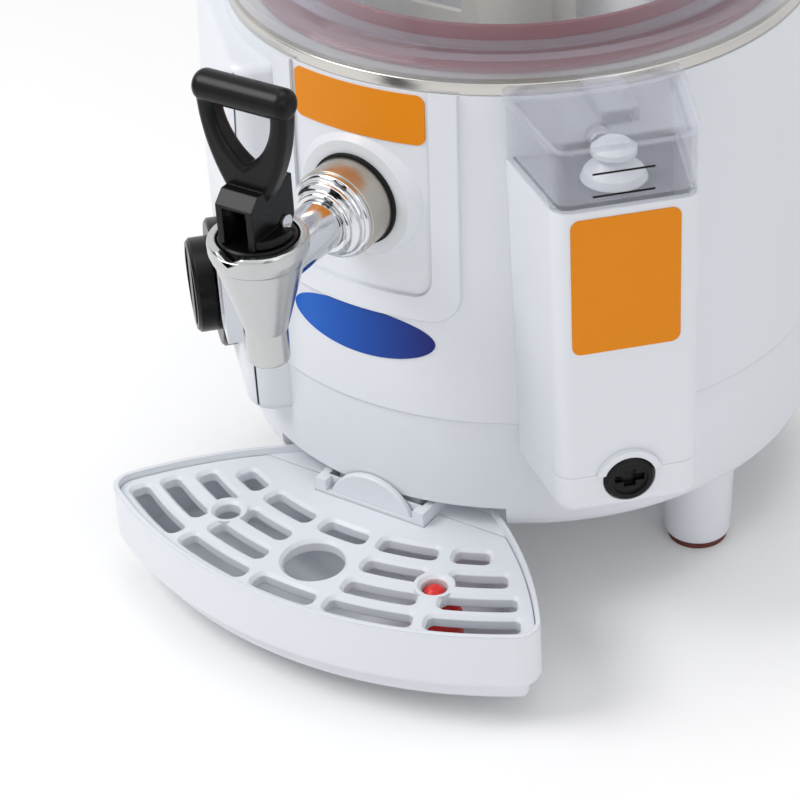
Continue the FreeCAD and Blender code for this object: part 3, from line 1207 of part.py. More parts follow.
def make_fill_pipe():
    """Pipe that joins the window tank to the boiler, through the shell."""
    pipe = tube(FILL_PIPE_R, FILL_PIPE_R - 1.2, BOILER_R - 6, WATER_BACK + FILL_PIPE_REACH)
    pipe = outward(pipe, WATER_ANGLE, FILL_PIPE_Z)
    return pipe.cut(cylinder(BOILER_R, FILL_PIPE_Z - 20, FILL_PIPE_Z + 20))


def make_dial():
    """Black dial plate behind the thermostat knob."""
    plate = turned([(KNOB_SHAFT_R + 2, CONTROL_FACE), (DIAL_R, CONTROL_FACE),
                    (DIAL_R, CONTROL_FACE + DIAL_THICK - 1.2),
                    (DIAL_R - 1.2, CONTROL_FACE + DIAL_THICK), (KNOB_SHAFT_R + 2, CONTROL_FACE + DIAL_THICK)])
    return outward(plate, CONTROL_ANGLE, DIAL_Z)


def make_knob():
    """Thermostat knob with a raised grip bar and its spindle."""
    back = CONTROL_FACE + DIAL_THICK + 0.5
    front = back + KNOB_DEPTH
    knob = turned([(0, back), (KNOB_R, back), (KNOB_R, front - 1.6), (KNOB_R - 1.6, front), (0, front)])
    for side in (-1, 1):
        inner, outer = sorted((side * 6.0, side * 30.0))
        scoop = block(inner, outer, -30, 30, front - 6.0, front + 1)
        knob = knob.cut(scoop.common(cylinder(KNOB_R - 4.0, front - 7, front + 2)))
    spindle = cylinder(KNOB_SHAFT_R, CONTROL_FACE - 16, back)
    return outward(knob.fuse(spindle), CONTROL_ANGLE, DIAL_Z)


def make_thermostat():
    """Thermostat case behind the control panel."""
    back = CONTROL_FACE - SHELL_WALL
    case = block(-17, 17, -13, 13, back - 18, back - 0.2)
    neck = cylinder(7, back - 20, back - 0.2)
    case = case.fuse(neck).cut(cylinder(KNOB_SHAFT_R + RUNNING, back - 14, back + 1))
    return outward(case, CONTROL_ANGLE, DIAL_Z)


def rounded_plate(half_width, half_height, low, high, radius):
    plate = block(-half_width, half_width, -half_height, half_height, low, high)
    return round_upright(plate, radius, lambda p: True)


def panel_part(shape):
    """Place a shape built along +Z at the switch's place on the control panel."""
    moved = shape.copy()
    moved.translate(V(SWITCH_AT, 0, 0))
    return outward(moved, CONTROL_ANGLE, SWITCH_Z)


def make_switch_frame():
    """White frame of the power switch, proud of the panel."""
    frame = rounded_plate(SWITCH_HALF_WIDTH, SWITCH_HALF_HEIGHT, CONTROL_FACE,
                          CONTROL_FACE + SWITCH_PROUD, 3.5)
    body = block(-SWITCH_HALF_WIDTH + 3.4, SWITCH_HALF_WIDTH - 3.4, -SWITCH_HALF_HEIGHT + 6.4,
                 SWITCH_HALF_HEIGHT - 6.4, CONTROL_FACE - 20, CONTROL_FACE + 1)
    hollow = block(-SWITCH_HALF_WIDTH + 4.6, SWITCH_HALF_WIDTH - 4.6, -SWITCH_HALF_HEIGHT + 7.6,
                   SWITCH_HALF_HEIGHT - 7.6, CONTROL_FACE - 10, CONTROL_FACE + SWITCH_PROUD + 1)
    reach = SWITCH_HALF_WIDTH - 3.6
    pivot = Part.makeCylinder(ROCKER_PIN_R + RUNNING, 2 * reach, V(-reach, 0, ROCKER_AXIS), V(1, 0, 0))
    return panel_part(frame.fuse(body).cut(hollow).cut(pivot))


ROCKER_AXIS = CONTROL_FACE + 1.0
ROCKER_PIN_R = 1.5


def make_rocker():
    """Rocker of the power switch, turned about a level axis across its middle."""
    half = SWITCH_HALF_HEIGHT - 9.4
    rocker = Part.Face(Part.makePolygon([
        V(0, -half, CONTROL_FACE + 4.6), V(0, 0, CONTROL_FACE + 5.4), V(0, half, CONTROL_FACE + 7.6),
        V(0, half - 1.5, CONTROL_FACE + 1.5), V(0, 0, CONTROL_FACE - 3.4),
        V(0, -half + 1.5, CONTROL_FACE - 0.5), V(0, -half, CONTROL_FACE + 4.6)]))
    width = SWITCH_HALF_WIDTH - 5.2
    rocker = rocker.extrude(V(2 * width, 0, 0))
    rocker.translate(V(-width, 0, 0))
    reach = SWITCH_HALF_WIDTH - 3.8
    pivot = Part.makeCylinder(ROCKER_PIN_R, 2 * reach, V(-reach, 0, ROCKER_AXIS), V(1, 0, 0))
    return panel_part(rocker.fuse(pivot))


def make_lamp():
    """Two pilot lamps with domed lenses above the dial."""
    lamps = []
    for across in LAMP_PLACES:
        lens = turned([(0, CONTROL_FACE - 10), (LAMP_R, CONTROL_FACE - 10), (LAMP_R, CONTROL_FACE),
                       (LAMP_R + 1.5, CONTROL_FACE), (LAMP_R + 1.5, CONTROL_FACE + 1.0),
                       (LAMP_R - 1, CONTROL_FACE + 2.6), (0, CONTROL_FACE + 3.2)])
        lens.translate(V(across, 0, 0))
        lamps.append(outward(lens, CONTROL_ANGLE, LAMP_Z))
    return Part.makeCompound(lamps)


def make_gland():
    """Cord inlet at the back: a flanged tube through the lower shell."""
    wall = SEAM_R - SEAM_STEP
    gland = turned([(GLAND_BORE_R, wall - 14), (GLAND_R - RUNNING, wall - 14), (GLAND_R - RUNNING, wall),
                    (GLAND_R + 3, wall), (GLAND_R + 3, wall + 3), (GLAND_R, wall + 10),
                    (GLAND_BORE_R, wall + 10)])
    return outward(gland, 180, GLAND_Z)


def make_terminal_block():
    low = BODY_BASE + SHELL_WALL + BASE_PLATE_THICK
    base = block(-24, 24, 78, 94, low, low + 16)
    holes = [Part.makeCylinder(2.6, 20, V(x, 76, low + 8), V(0, 1, 0)) for x in (-18, -6, 6, 18)]
    return base.cut(Part.makeCompound(holes))


def turned_shift(points, x, y):
    solid = turned(points)
    solid.translate(V(x, y, 0))
    return solid


def make_cutout():
    """Overheat cut-out clipped under the boiler floor."""
    return turned_shift([(0, BOILER_BASE_Z - 9), (8, BOILER_BASE_Z - 9), (8, BOILER_BASE_Z - 2),
                         (11, BOILER_BASE_Z - 2), (11, BOILER_BASE_Z), (0, BOILER_BASE_Z)], -68, -14)


def skin_layer(proud):
    """Thin layer that starts a little above the upper shell's surface."""
    return turned([(SEAM_R + proud, SEAM_Z), (SEAM_R + proud + LABEL_THICK, SEAM_Z),
                   (TOP_R + proud + LABEL_THICK, BODY_TOP), (TOP_R + proud, BODY_TOP)])


def make_labels():
    """Two bare plates: below the ring at the front, and on the face of the water box."""
    front = rounded_plate(FRONT_LABEL_HALF, FRONT_LABEL_TALL / 2.0, SEAM_R - BEHIND, SEAM_R + AHEAD, 4.0)
    front = outward(front, 0, FRONT_LABEL_Z).common(skin_layer(0.0))
    box = rounded_plate(23.2, 32.0, WATER_FRONT, WATER_FRONT + LABEL_THICK, 4.0)
    box.translate(V(-1.1, 0, 0))
    return Part.makeCompound([front, outward(box, WATER_ANGLE, 199.0)])


def make_badge():
    """Bare oval badge below the tap."""
    rim = Part.Ellipse(V(0, 0, 0), BADGE_HALF_WIDTH, BADGE_HALF_HEIGHT).toShape()
    oval = Part.Face(Part.Wire(rim)).extrude(V(0, 0, BEHIND + AHEAD))
    oval.translate(V(0, 0, SEAM_R - BEHIND))
    return outward(oval, BADGE_ANGLE, BADGE_Z).common(skin_layer(0.0))


PARTS = {
    "upper_shell": make_upper_shell,
    "lower_shell": make_lower_shell,
    "shell_screws": make_shell_screws,
    "steel_trim_ring": make_trim_ring,
    "base_plate": make_base_plate,
    "boiler": make_boiler,
    "product_pot": make_pot,
    "heating_element": make_heater,
    "vessel_seals": make_vessel_seals,
    "overheat_cutout": make_cutout,
    "bowl_seal": make_bowl_seal,
    "bowl": make_bowl,
    "bowl_lid": make_lid,
    "lid_knob": make_lid_knob,
    "drive_shaft": make_drive_shaft,
    "output_gear": make_output_gear,
    "motor_pinion": make_pinion,
    "gearbox_case": make_gearbox_case,
    "gearbox_cover": make_gearbox_cover,
    "shaft_bushes": make_shaft_bushes,
    "motor_stand": make_motor_stand,
    "motor": make_motor,
    "agitator_hub": make_hub,
    "agitator_blades": make_blades,
    "tap_body": make_tap_body,
    "tap_gasket": make_gasket,
    "tap_ferrule": make_ferrule,
    "tap_collar": make_collar,
    "tap_nut": make_tap_nut,
    "tap_bonnet": make_bonnet,
    "lever_pin": make_lever_pin,
    "plunger_stem": make_plunger,
    "plunger_seal": make_plunger_seal,
    "plunger_spring": make_spring,
    "tap_lever": make_lever,
    "drip_tray": make_tray,
    "tray_tongue": make_tongue,
    "tray_rail": make_tray_rail,
    "drip_grille": make_grille,
    "tray_float": make_tray_float,
    "window_tank": make_window_tank,
    "water_lid": make_water_lid,
    "level_sensor_base": make_sensor_base,
    "level_float": make_level_float,
    "drain_plug": make_drain_plug,
    "drain_seal": make_drain_seal,
    "drain_pipe": make_drain_pipe,
    "fill_pipe": make_fill_pipe,
    "dial_plate": make_dial,
    "thermostat_knob": make_knob,
    "thermostat": make_thermostat,
    "switch_frame": make_switch_frame,
    "switch_rocker": make_rocker,
    "pilot_lamps": make_lamp,
    "label_plates": make_labels,
    "front_badge": make_badge,
    "cord_gland": make_gland,
    "terminal_block": make_terminal_block,
}

for node, make in PARTS.items():
    export(node, make())
feet, foot_pads = make_feet()
export("feet", feet)
export("foot_pads", foot_pads)
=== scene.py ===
# %% [markdown]
# # A drinking chocolate dispenser
# The machine is a round white body with a lever tap, a water box at the right, a control box
# at the left and a slotted drip tray. Its solid parts are already modelled, so this lesson
# loads them as they are, gives every surface its finish, remakes the pieces whose soft
# shapes the eye rests on, and sets up a floor, lamps and a camera.

# %% Load the solid parts
import json
import math

import bmesh
import bpy
import numpy as np
from mathutils import Matrix, Vector


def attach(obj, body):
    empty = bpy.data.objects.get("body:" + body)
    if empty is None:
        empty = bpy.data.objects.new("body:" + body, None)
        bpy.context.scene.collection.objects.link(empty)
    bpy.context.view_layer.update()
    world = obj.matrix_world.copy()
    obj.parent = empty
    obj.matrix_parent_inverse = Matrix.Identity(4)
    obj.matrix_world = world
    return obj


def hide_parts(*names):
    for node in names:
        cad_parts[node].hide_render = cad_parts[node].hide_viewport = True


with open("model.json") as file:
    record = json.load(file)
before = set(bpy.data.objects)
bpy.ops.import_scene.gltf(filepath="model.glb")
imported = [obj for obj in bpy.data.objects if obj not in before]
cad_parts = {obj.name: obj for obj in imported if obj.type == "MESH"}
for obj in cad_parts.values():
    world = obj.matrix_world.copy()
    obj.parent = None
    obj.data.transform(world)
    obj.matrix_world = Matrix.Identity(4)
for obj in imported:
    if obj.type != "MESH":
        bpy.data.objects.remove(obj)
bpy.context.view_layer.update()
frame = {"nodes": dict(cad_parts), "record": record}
MM = 0.001

# %% [markdown]
# ## Small node-building helpers
# A material is a graph of nodes. Writing each link by hand is tiresome to read, so a tiny
# class keeps the graph and makes one node per call, with its constants set on the sockets.

# %% A helper that builds node graphs


class Graph:
    """Adds nodes to one node tree and links them from left to right."""

    def __init__(self, tree):
        self.tree = tree

    def node(self, kind, settings=None, **inputs):
        made = self.tree.nodes.new(kind)
        for key, value in (settings or {}).items():
            setattr(made, key, value)
        for key, value in inputs.items():
            self.feed(made.inputs[key.replace("_", " ")], value)
        return made

    def feed(self, socket, value):
        if isinstance(value, bpy.types.NodeSocket):
            self.tree.links.new(value, socket)
        elif isinstance(value, (tuple, list)) and len(value) == 3 and socket.type == "RGBA":
            socket.default_value = (*value, 1.0)
        else:
            socket.default_value = value

    def math(self, operation, first, second=0.0):
        made = self.tree.nodes.new("ShaderNodeMath")
        made.operation = operation
        self.feed(made.inputs[0], first)
        self.feed(made.inputs[1], second)
        return made.outputs[0]

    def ramp(self, value, low, high, to_low=0.0, to_high=1.0):
        made = self.tree.nodes.new("ShaderNodeMapRange")
        self.feed(made.inputs["Value"], value)
        for key, number in (("From Min", low), ("From Max", high),
                            ("To Min", to_low), ("To Max", to_high)):
            self.feed(made.inputs[key], number)
        return made.outputs["Result"]

    def mix(self, share, first, second):
        made = self.tree.nodes.new("ShaderNodeMix")
        made.data_type = "RGBA"
        self.feed(made.inputs[0], share)
        self.feed(made.inputs[6], first)
        self.feed(made.inputs[7], second)
        return made.outputs[2]


print("graph helper ready")

# %% [markdown]
# ## Effects that several finishes share
# Moulded plastic is never quite even: its gloss drifts by a few per cent over a hand's
# breadth, and its skin has a very fine grain. Worn, handled metal has the same drift with
# faint streaks. Each effect is one node group with named inputs, so that every finish can
# place it with its own values.

# %% Group: drifting gloss
def new_group(name, inputs, outputs):
    """Node group with float or colour sockets: inputs are (name, kind, default)."""
    tree = bpy.data.node_groups.new(name, "ShaderNodeTree")
    for label, kind, default in inputs:
        socket = tree.interface.new_socket(label, in_out="INPUT", socket_type=kind)
        socket.default_value = default
    for label, kind in outputs:
        tree.interface.new_socket(label, in_out="OUTPUT", socket_type=kind)
    graph = Graph(tree)
    return tree, graph, graph.node("NodeGroupInput"), graph.node("NodeGroupOutput")


def make_drift():
    """Roughness = base + spread x slow noise, for handled and moulded surfaces."""
    tree, g, inside, out = new_group(
        "gloss drift",
        [("Roughness", "NodeSocketFloat", 0.3), ("Spread", "NodeSocketFloat", 0.08),
         ("Scale", "NodeSocketFloat", 18.0)],
        [("Roughness", "NodeSocketFloat"), ("Mask", "NodeSocketFloat")])
    place = g.node("ShaderNodeTexCoord").outputs["Object"]
    slow = g.node("ShaderNodeTexNoise", Vector=place, Scale=inside.outputs["Scale"], Detail=4.0)
    centred = g.math("SUBTRACT", slow.outputs["Fac"], 0.5)
    g.feed(out.inputs["Roughness"],
           g.math("ADD", inside.outputs["Roughness"],
                  g.math("MULTIPLY", centred, inside.outputs["Spread"])))
    g.feed(out.inputs["Mask"], slow.outputs["Fac"])
    return tree


DRIFT = make_drift()
print("group", DRIFT.name)

# %% Group: fine grain of a moulded skin
def make_grain():
    """Height = fine noise + a share of coarser waviness, in the mould's own scale."""
    tree, g, inside, out = new_group(
        "moulded grain",
        [("Fine", "NodeSocketFloat", 2200.0), ("Coarse", "NodeSocketFloat", 60.0),
         ("Waviness", "NodeSocketFloat", 0.4)],
        [("Height", "NodeSocketFloat")])
    place = g.node("ShaderNodeTexCoord").outputs["Object"]
    fine = g.node("ShaderNodeTexNoise", Vector=place, Scale=inside.outputs["Fine"], Detail=2.0)
    coarse = g.node("ShaderNodeTexNoise", Vector=place, Scale=inside.outputs["Coarse"],
                    Detail=1.0)
    wave = g.math("MULTIPLY", coarse.outputs["Fac"], inside.outputs["Waviness"])
    g.feed(out.inputs["Height"], g.math("ADD", fine.outputs["Fac"], wave))
    return tree


GRAIN = make_grain()
print("group", GRAIN.name)

# %% Group: brushed or turned streaks
def make_streaks():
    """Long streaks: noise squeezed across the brushing direction by the Stretch vector."""
    tree, g, inside, out = new_group(
        "brushed streaks",
        [("Stretch", "NodeSocketVector", (30.0, 30.0, 2200.0)),
         ("Roughness", "NodeSocketFloat", 0.28), ("Spread", "NodeSocketFloat", 0.2)],
        [("Roughness", "NodeSocketFloat"), ("Height", "NodeSocketFloat")])
    place = g.node("ShaderNodeTexCoord").outputs["Object"]
    pulled = g.node("ShaderNodeVectorMath", {"operation": "MULTIPLY"})
    g.feed(pulled.inputs[0], place)
    g.feed(pulled.inputs[1], inside.outputs["Stretch"])
    lines = g.node("ShaderNodeTexNoise", Vector=pulled.outputs[0], Scale=1.0, Detail=3.0)
    centred = g.math("SUBTRACT", lines.outputs["Fac"], 0.5)
    g.feed(out.inputs["Roughness"],
           g.math("ADD", inside.outputs["Roughness"],
                  g.math("MULTIPLY", centred, inside.outputs["Spread"])))
    g.feed(out.inputs["Height"], lines.outputs["Fac"])
    return tree


STREAKS = make_streaks()
print("group", STREAKS.name)

# %% [markdown]
# ## Finishes
# One function makes every moulded finish: colour with a faint drift, gloss from the drift
# group, skin from the grain group, and a Bevel node that rounds hard edges a little in the
# shading, as a mould does. The metals get streaks in place of grain.

# %% Moulded plastics and rubbers
GRAIN_DEPTH, STREAK_DEPTH = 0.0001, 0.00005


def place_group(g, tree, **inputs):
    made = g.node("ShaderNodeGroup", {"node_tree": tree})
    for key, value in inputs.items():
        g.feed(made.inputs[key.replace("_", " ")], value)
    return made


def new_material(name):
    material = bpy.data.materials.new(name)
    material.use_nodes = True
    material.node_tree.nodes.clear()
    g = Graph(material.node_tree)
    shader = g.node("ShaderNodeBsdfPrincipled")
    output = g.node("ShaderNodeOutputMaterial", Surface=shader.outputs["BSDF"])
    output.is_active_output = True
    return material, g, shader


def soft_normal(g, height, strength, depth, edge):
    """Normal = bumped height over edges that shade as if rounded by a radius."""
    rounded = g.node("ShaderNodeBevel", {"samples": 4}, Radius=edge)
    return g.node("ShaderNodeBump", Strength=strength, Distance=depth, Height=height,
                  Normal=rounded.outputs["Normal"]).outputs["Normal"]


def moulded(name, colour, roughness, shade=0.97, spread=0.08, fine=2200.0, bump=0.12,
            edge=0.0008, coat=0.0, shine=0.5):
    """Moulded finish whose colour drifts between itself and a slightly darker shade."""
    material, g, shader = new_material(name)
    drift = place_group(g, DRIFT, Roughness=roughness, Spread=spread, Scale=22.0)
    grain = place_group(g, GRAIN, Fine=fine)
    darker = tuple(c * shade for c in colour)
    g.feed(shader.inputs["Base Color"], g.mix(drift.outputs["Mask"], darker, colour))
    g.feed(shader.inputs["Roughness"], drift.outputs["Roughness"])
    shader.inputs["Specular IOR Level"].default_value = shine
    shader.inputs["Coat Weight"].default_value = coat
    g.feed(shader.inputs["Normal"],
           soft_normal(g, grain.outputs["Height"], bump, GRAIN_DEPTH, edge))
    return material


WHITE = moulded("white_plastic", (0.74, 0.765, 0.81), 0.36, coat=0.1)
BLACK = moulded("black_plastic", (0.0035, 0.0035, 0.004), 0.28, shade=0.8, fine=1600.0,
                bump=0.1, shine=0.2)
RUBBER = moulded("black_rubber", (0.006, 0.006, 0.006), 0.55, shade=0.8, bump=0.3, shine=0.2)
RED_PLASTIC = moulded("red_plastic", (0.72, 0.02, 0.015), 0.3)
SILICONE = moulded("red_silicone", (0.25, 0.012, 0.016), 0.42, shade=0.85, bump=0.2)
PAD = moulded("pad_rubber", (0.13, 0.022, 0.016), 0.6, shade=0.8, bump=0.3)
NYLON = moulded("nylon", (0.74, 0.71, 0.62), 0.45, shade=0.95)
ORANGE = moulded("orange_film", (0.78, 0.25, 0.004), 0.45, shade=0.96, bump=0.05, edge=0.0002,
                 shine=0.2)
LENS = moulded("lamp_lens", (0.55, 0.2, 0.02), 0.12, bump=0.02)
PAINT = moulded("motor_paint", (0.045, 0.05, 0.058), 0.4, shade=0.8)
print("moulded finishes made")

# %% Metals
def metal(name, colour, roughness, spread, stretch, bump=0.05, edge=0.0004):
    """Metal whose gloss and skin follow fine streaks."""
    material, g, shader = new_material(name)
    streaks = place_group(g, STREAKS, Stretch=stretch, Roughness=roughness, Spread=spread)
    shader.inputs["Metallic"].default_value = 1.0
    g.feed(shader.inputs["Base Color"],
           g.mix(streaks.outputs["Height"], tuple(c * 0.9 for c in colour), colour))
    g.feed(shader.inputs["Roughness"], streaks.outputs["Roughness"])
    g.feed(shader.inputs["Normal"],
           soft_normal(g, streaks.outputs["Height"], bump, STREAK_DEPTH, edge))
    return material


CHROME = metal("chromed_metal", (0.72, 0.73, 0.75), 0.09, 0.08, (60.0, 60.0, 60.0), bump=0.01)
SATIN = metal("satin_plate", (0.56, 0.57, 0.57), 0.24, 0.14, (500.0, 500.0, 60.0), bump=0.04)
BRUSHED = metal("brushed_steel", (0.62, 0.6, 0.57), 0.24, 0.16, (60.0, 60.0, 3000.0))
TURNED = metal("turned_steel", (0.56, 0.52, 0.46), 0.3, 0.16, (60.0, 2600.0, 60.0))
SHEET = metal("sheet_steel", (0.68, 0.68, 0.68), 0.3, 0.15, (40.0, 900.0, 40.0))
ZINC = metal("zinc_steel", (0.58, 0.58, 0.57), 0.36, 0.2, (80.0, 80.0, 80.0))
BRASS = metal("brass", (0.68, 0.46, 0.2), 0.3, 0.15, (50.0, 50.0, 1200.0))
print("metal finishes made")

# %% Clear plastic
def clear_plastic(name, tint, veil, edge_veil):
    """Thin clear wall: mostly see-through face on, and milkier where it is seen edge on."""
    material, g, shader = new_material(name)
    drift = place_group(g, DRIFT, Roughness=0.07, Spread=0.05, Scale=30.0)
    grazing = g.node("ShaderNodeLayerWeight", Blend=0.35).outputs["Facing"]
    shader.inputs["Base Color"].default_value = (*tint, 1.0)
    shader.inputs["IOR"].default_value = 1.49
    shader.inputs["Coat Weight"].default_value = 0.6
    shader.inputs["Coat Roughness"].default_value = 0.04
    g.feed(shader.inputs["Alpha"], g.ramp(grazing, 0.0, 1.0, veil, edge_veil))
    g.feed(shader.inputs["Roughness"], drift.outputs["Roughness"])
    return material


CLEAR = clear_plastic("clear_plastic", (0.66, 0.68, 0.77), 0.07, 0.5)
print("clear finish made")

# %% Badge film
BADGE_SPAN = (-0.03, 0.036)


def badge_film(name, near, far):
    """Blue film that deepens from left to right, as wide as the badge."""
    material, g, shader = new_material(name)
    place = g.node("ShaderNodeTexCoord").outputs["Object"]
    along = g.node("ShaderNodeSeparateXYZ", Vector=place).outputs["X"]
    drift = place_group(g, DRIFT, Roughness=0.22, Spread=0.06, Scale=40.0)
    g.feed(shader.inputs["Base Color"], g.mix(g.ramp(along, *BADGE_SPAN), near, far))
    g.feed(shader.inputs["Roughness"], drift.outputs["Roughness"])
    shader.inputs["Specular IOR Level"].default_value = 0.2
    return material


BLUE = badge_film("blue_film", (0.0, 0.105, 0.52), (0.008, 0.012, 0.15))
print("badge finish made")

# %% [markdown]
# ## Dressing the solid parts
# The record says which material slot each part has, so a table from slot to finish dresses
# them all. The finish is set on the object's slot, which leaves the mesh itself alone.

# %% Give every part its finish
FINISHES = {
    "white_plastic": WHITE, "black_plastic": BLACK, "black_rubber": RUBBER,
    "red_plastic": RED_PLASTIC, "red_silicone": SILICONE, "pad_rubber": PAD, "nylon": NYLON,
    "orange_film": ORANGE, "blue_film": BLUE, "lamp_lens": LENS, "motor_paint": PAINT,
    "chromed_metal": CHROME, "brushed_steel": BRUSHED, "sheet_steel": SHEET,
    "zinc_steel": ZINC, "brass": BRASS, "clear_plastic": CLEAR,
}
slot_of = {part["node"]: part["material_slot"] for part in frame["record"]["subparts"]}
for name, part in frame["nodes"].items():
    if not part.material_slots:
        part.data.materials.append(None)
    for slot in part.material_slots:
        slot.link = "OBJECT"
        slot.material = FINISHES[slot_of[name]]
print("finishes on", len(slot_of), "parts")

# %% [markdown]
# ## The tap's turned metal
# The tap is turned and plated, so its highlights run unbroken round every curve. The solid
# parts are made of flat facets that chop those highlights up. Each turned piece is remade
# as a surface of revolution: one profile of radius and height, softened at its corners, is
# carried round an axis in fine steps. The old facets are then not shown.

# %% A softened profile and a turned surface
ROUND_STEPS = 5
SIDE_SHARE = 0.45  # most of a side that one corner's curve may take
NO_LENGTH = 1e-9


def point_towards(corner, other, radius):
    """Point on the side from a corner to its neighbour, at most a radius from the corner."""
    side = other - corner
    length = np.linalg.norm(side)
    return corner + side / max(length, NO_LENGTH) * min(radius, SIDE_SHARE * length)


def soften(points, radius):
    """Replace each corner of a closed profile by a short quadratic curve that starts and
    ends at most a radius away: p(s) = (1-s)^2 a + 2 s (1-s) corner + s^2 b."""
    points = np.array(points, float)
    before, after = np.roll(points, 1, 0), np.roll(points, -1, 0)
    out = []
    s = np.linspace(0, 1, ROUND_STEPS)[:, None]
    for corner, *neighbours in zip(points, before, after):
        start, end = (point_towards(corner, other, radius) for other in neighbours)
        out.append((1 - s) ** 2 * start + 2 * s * (1 - s) * corner + s ** 2 * end)
    return np.concatenate(out)


def turned_surface(profile, radius=0.4, steps=144):
    """Closed ring of revolution: (r, h) -> (r cos a, r sin a, h), a from 0 to a full turn.
    Returns vertices in millimetres and quads that join each ring of the profile to the next."""
    ring = soften(profile, radius)
    angles = np.linspace(0, 2 * np.pi, steps, endpoint=False)
    r, h = ring[:, 0][:, None], ring[:, 1][:, None]
    points = np.stack([r * np.cos(angles), r * np.sin(angles), h + 0 * angles], -1)
    rows, columns = np.meshgrid(np.arange(len(ring)), np.arange(steps), indexing="ij")
    next_row, next_column = (rows + 1) % len(ring), (columns + 1) % steps
    quads = np.stack([rows * steps + columns, rows * steps + next_column,
                      next_row * steps + next_column, next_row * steps + columns], -1)
    return points.reshape(-1, 3), quads.reshape(-1, 4)


def mesh_piece(name, points, faces, material, body, stands_for=()):
    """Object from vertices in millimetres, riding a body and taking the place of CAD nodes."""
    mesh = bpy.data.meshes.new(name)
    mesh.from_pydata((np.asarray(points) * MM).tolist(), [], np.asarray(faces).tolist())
    mesh.validate()
    mesh.polygons.foreach_set("use_smooth", [True] * len(mesh.polygons))
    made = bpy.data.objects.new(name, mesh)
    bpy.context.scene.collection.objects.link(made)
    mesh.materials.append(material)
    outward_normals(mesh)
    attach(made, body)
    if stands_for:
        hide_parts(*stands_for)
    print(name, len(mesh.vertices), "vertices")
    return made


def outward_normals(mesh):
    """Turn every face of a closed mesh outwards."""
    work = bmesh.new()
    work.from_mesh(mesh)
    bmesh.ops.recalc_face_normals(work, faces=work.faces)
    work.to_mesh(mesh)
    work.free()


print("turning helpers ready")

# %% Axes of the tap
# Height of the pipe's axis, and place of the nozzle's upright axis in front, in millimetres.
TAP_Z, TAP_Y = 208.7, -206.3


def along_pipe(points):
    """Lay a piece turned about Z along the pipe: height becomes distance out of the front."""
    x, y, h = points.T
    return np.stack([x, -h, TAP_Z + y], -1)


def along_nozzle(points):
    """Move a piece turned about Z onto the nozzle's upright axis."""
    return points + np.array([0.0, TAP_Y, 0.0])


# Distances out of the machine's axis at which the gasket, ferrule and collar begin.
SEAT_OUT, GASKET_OUT, FERRULE_OUT = 137.8, 139.4, 153.6
COLLAR_ROUNDING, CUP_ROUNDING, PIPE_ROUNDING = 0.45, 0.7, 0.3
print("tap axes at", TAP_Y, TAP_Z)

# %% Gasket, ferrule and stepped collar
gasket = [(11.8, SEAT_OUT), (21.4, SEAT_OUT), (21.4, GASKET_OUT), (11.8, GASKET_OUT)]
ferrule = [(11.4, GASKET_OUT), (20.2, GASKET_OUT), (20.2, FERRULE_OUT), (11.4, FERRULE_OUT)]
collar = [(11.35, FERRULE_OUT), (19.6, FERRULE_OUT), (19.6, 155.8), (18.4, 156.8), (17.6, 156.8),
          (17.0, 157.8), (17.0, 159.4), (15.2, 160.2), (14.3, 160.9), (14.3, 162.4),
          (13.3, 163.4), (11.35, 163.4)]
for name, profile, material, slot_name, node in (
        ("turned_gasket", gasket, RUBBER, "black_rubber", "tap_gasket"),
        ("turned_ferrule", ferrule, TURNED, "brushed_steel", "tap_ferrule"),
        ("turned_collar", collar, CHROME, "chromed_metal", "tap_collar")):
    points, quads = turned_surface(profile, COLLAR_ROUNDING)
    mesh_piece(name, along_pipe(points), quads, material, "machine", (node,))

# %% Cup, nozzle and pipe
CUP_RIM, RIM_THICK = 226.0, 1.6
NOTCH_HALF_ANGLE, NOTCH_DEPTH = math.radians(17.0), 3.4


def notch(points):
    """Lower the rim in a V at the front: dz = -depth x (1 - |angle| / half angle), within it."""
    x, y, z = points.T
    angle = np.abs(np.arctan2(x, -y))
    share = np.clip(1 - angle / NOTCH_HALF_ANGLE, 0, 1) * (z > CUP_RIM - RIM_THICK)
    return np.stack([x, y, z - NOTCH_DEPTH * share], -1)


cup = [(6.3, 166.0), (8.4, 166.0), (9.0, 167.0), (9.0, 181.4), (9.3, 182.0), (14.2, 199.0),
       (19.1, 215.6), (19.7, 216.2), (21.0, 220.0), (21.2, 224.6), (20.6, CUP_RIM),
       (17.4, CUP_RIM), (17.4, 221.0), (9.4, 220.0), (9.4, 187.1), (6.3, 187.0)]
pipe = [(8.0, 106.6), (11.3, 106.6), (11.3, 194.6), (8.0, 194.6)]
cup_points, cup_quads = turned_surface(cup, CUP_ROUNDING)
pipe_points, pipe_quads = turned_surface(pipe, PIPE_ROUNDING)
mesh_piece("tap_cup", along_nozzle(notch(cup_points)), cup_quads, SATIN, "machine",
           ("tap_body",))
mesh_piece("tap_pipe", along_pipe(pipe_points), pipe_quads, CHROME, "machine",
           ("tap_body",))

# %% [markdown]
# ## Band under the bowl
# A steel band circles the top, between the body and the bowl's red seal. It is one long
# smooth curve seen close up, so it is turned in the same way, with more steps round.

# %% Steel band
BAND_STEPS, BAND_ROUNDING = 320, 0.6
band = [(100.0, 266.7), (131.4, 266.7), (131.4, 262.8), (132.9, 262.8), (132.9, 268.2),
        (100.0, 268.2)]
points, quads = turned_surface(band, BAND_ROUNDING, BAND_STEPS)
mesh_piece("steel_band", points, quads, BRUSHED, "machine", ("steel_trim_ring",))

# %% [markdown]
# ## Level lines
# Two thin black lines on the front of the clear tank mark the highest and lowest water
# level. Each is a thin strip laid just in front of the tank's wall.

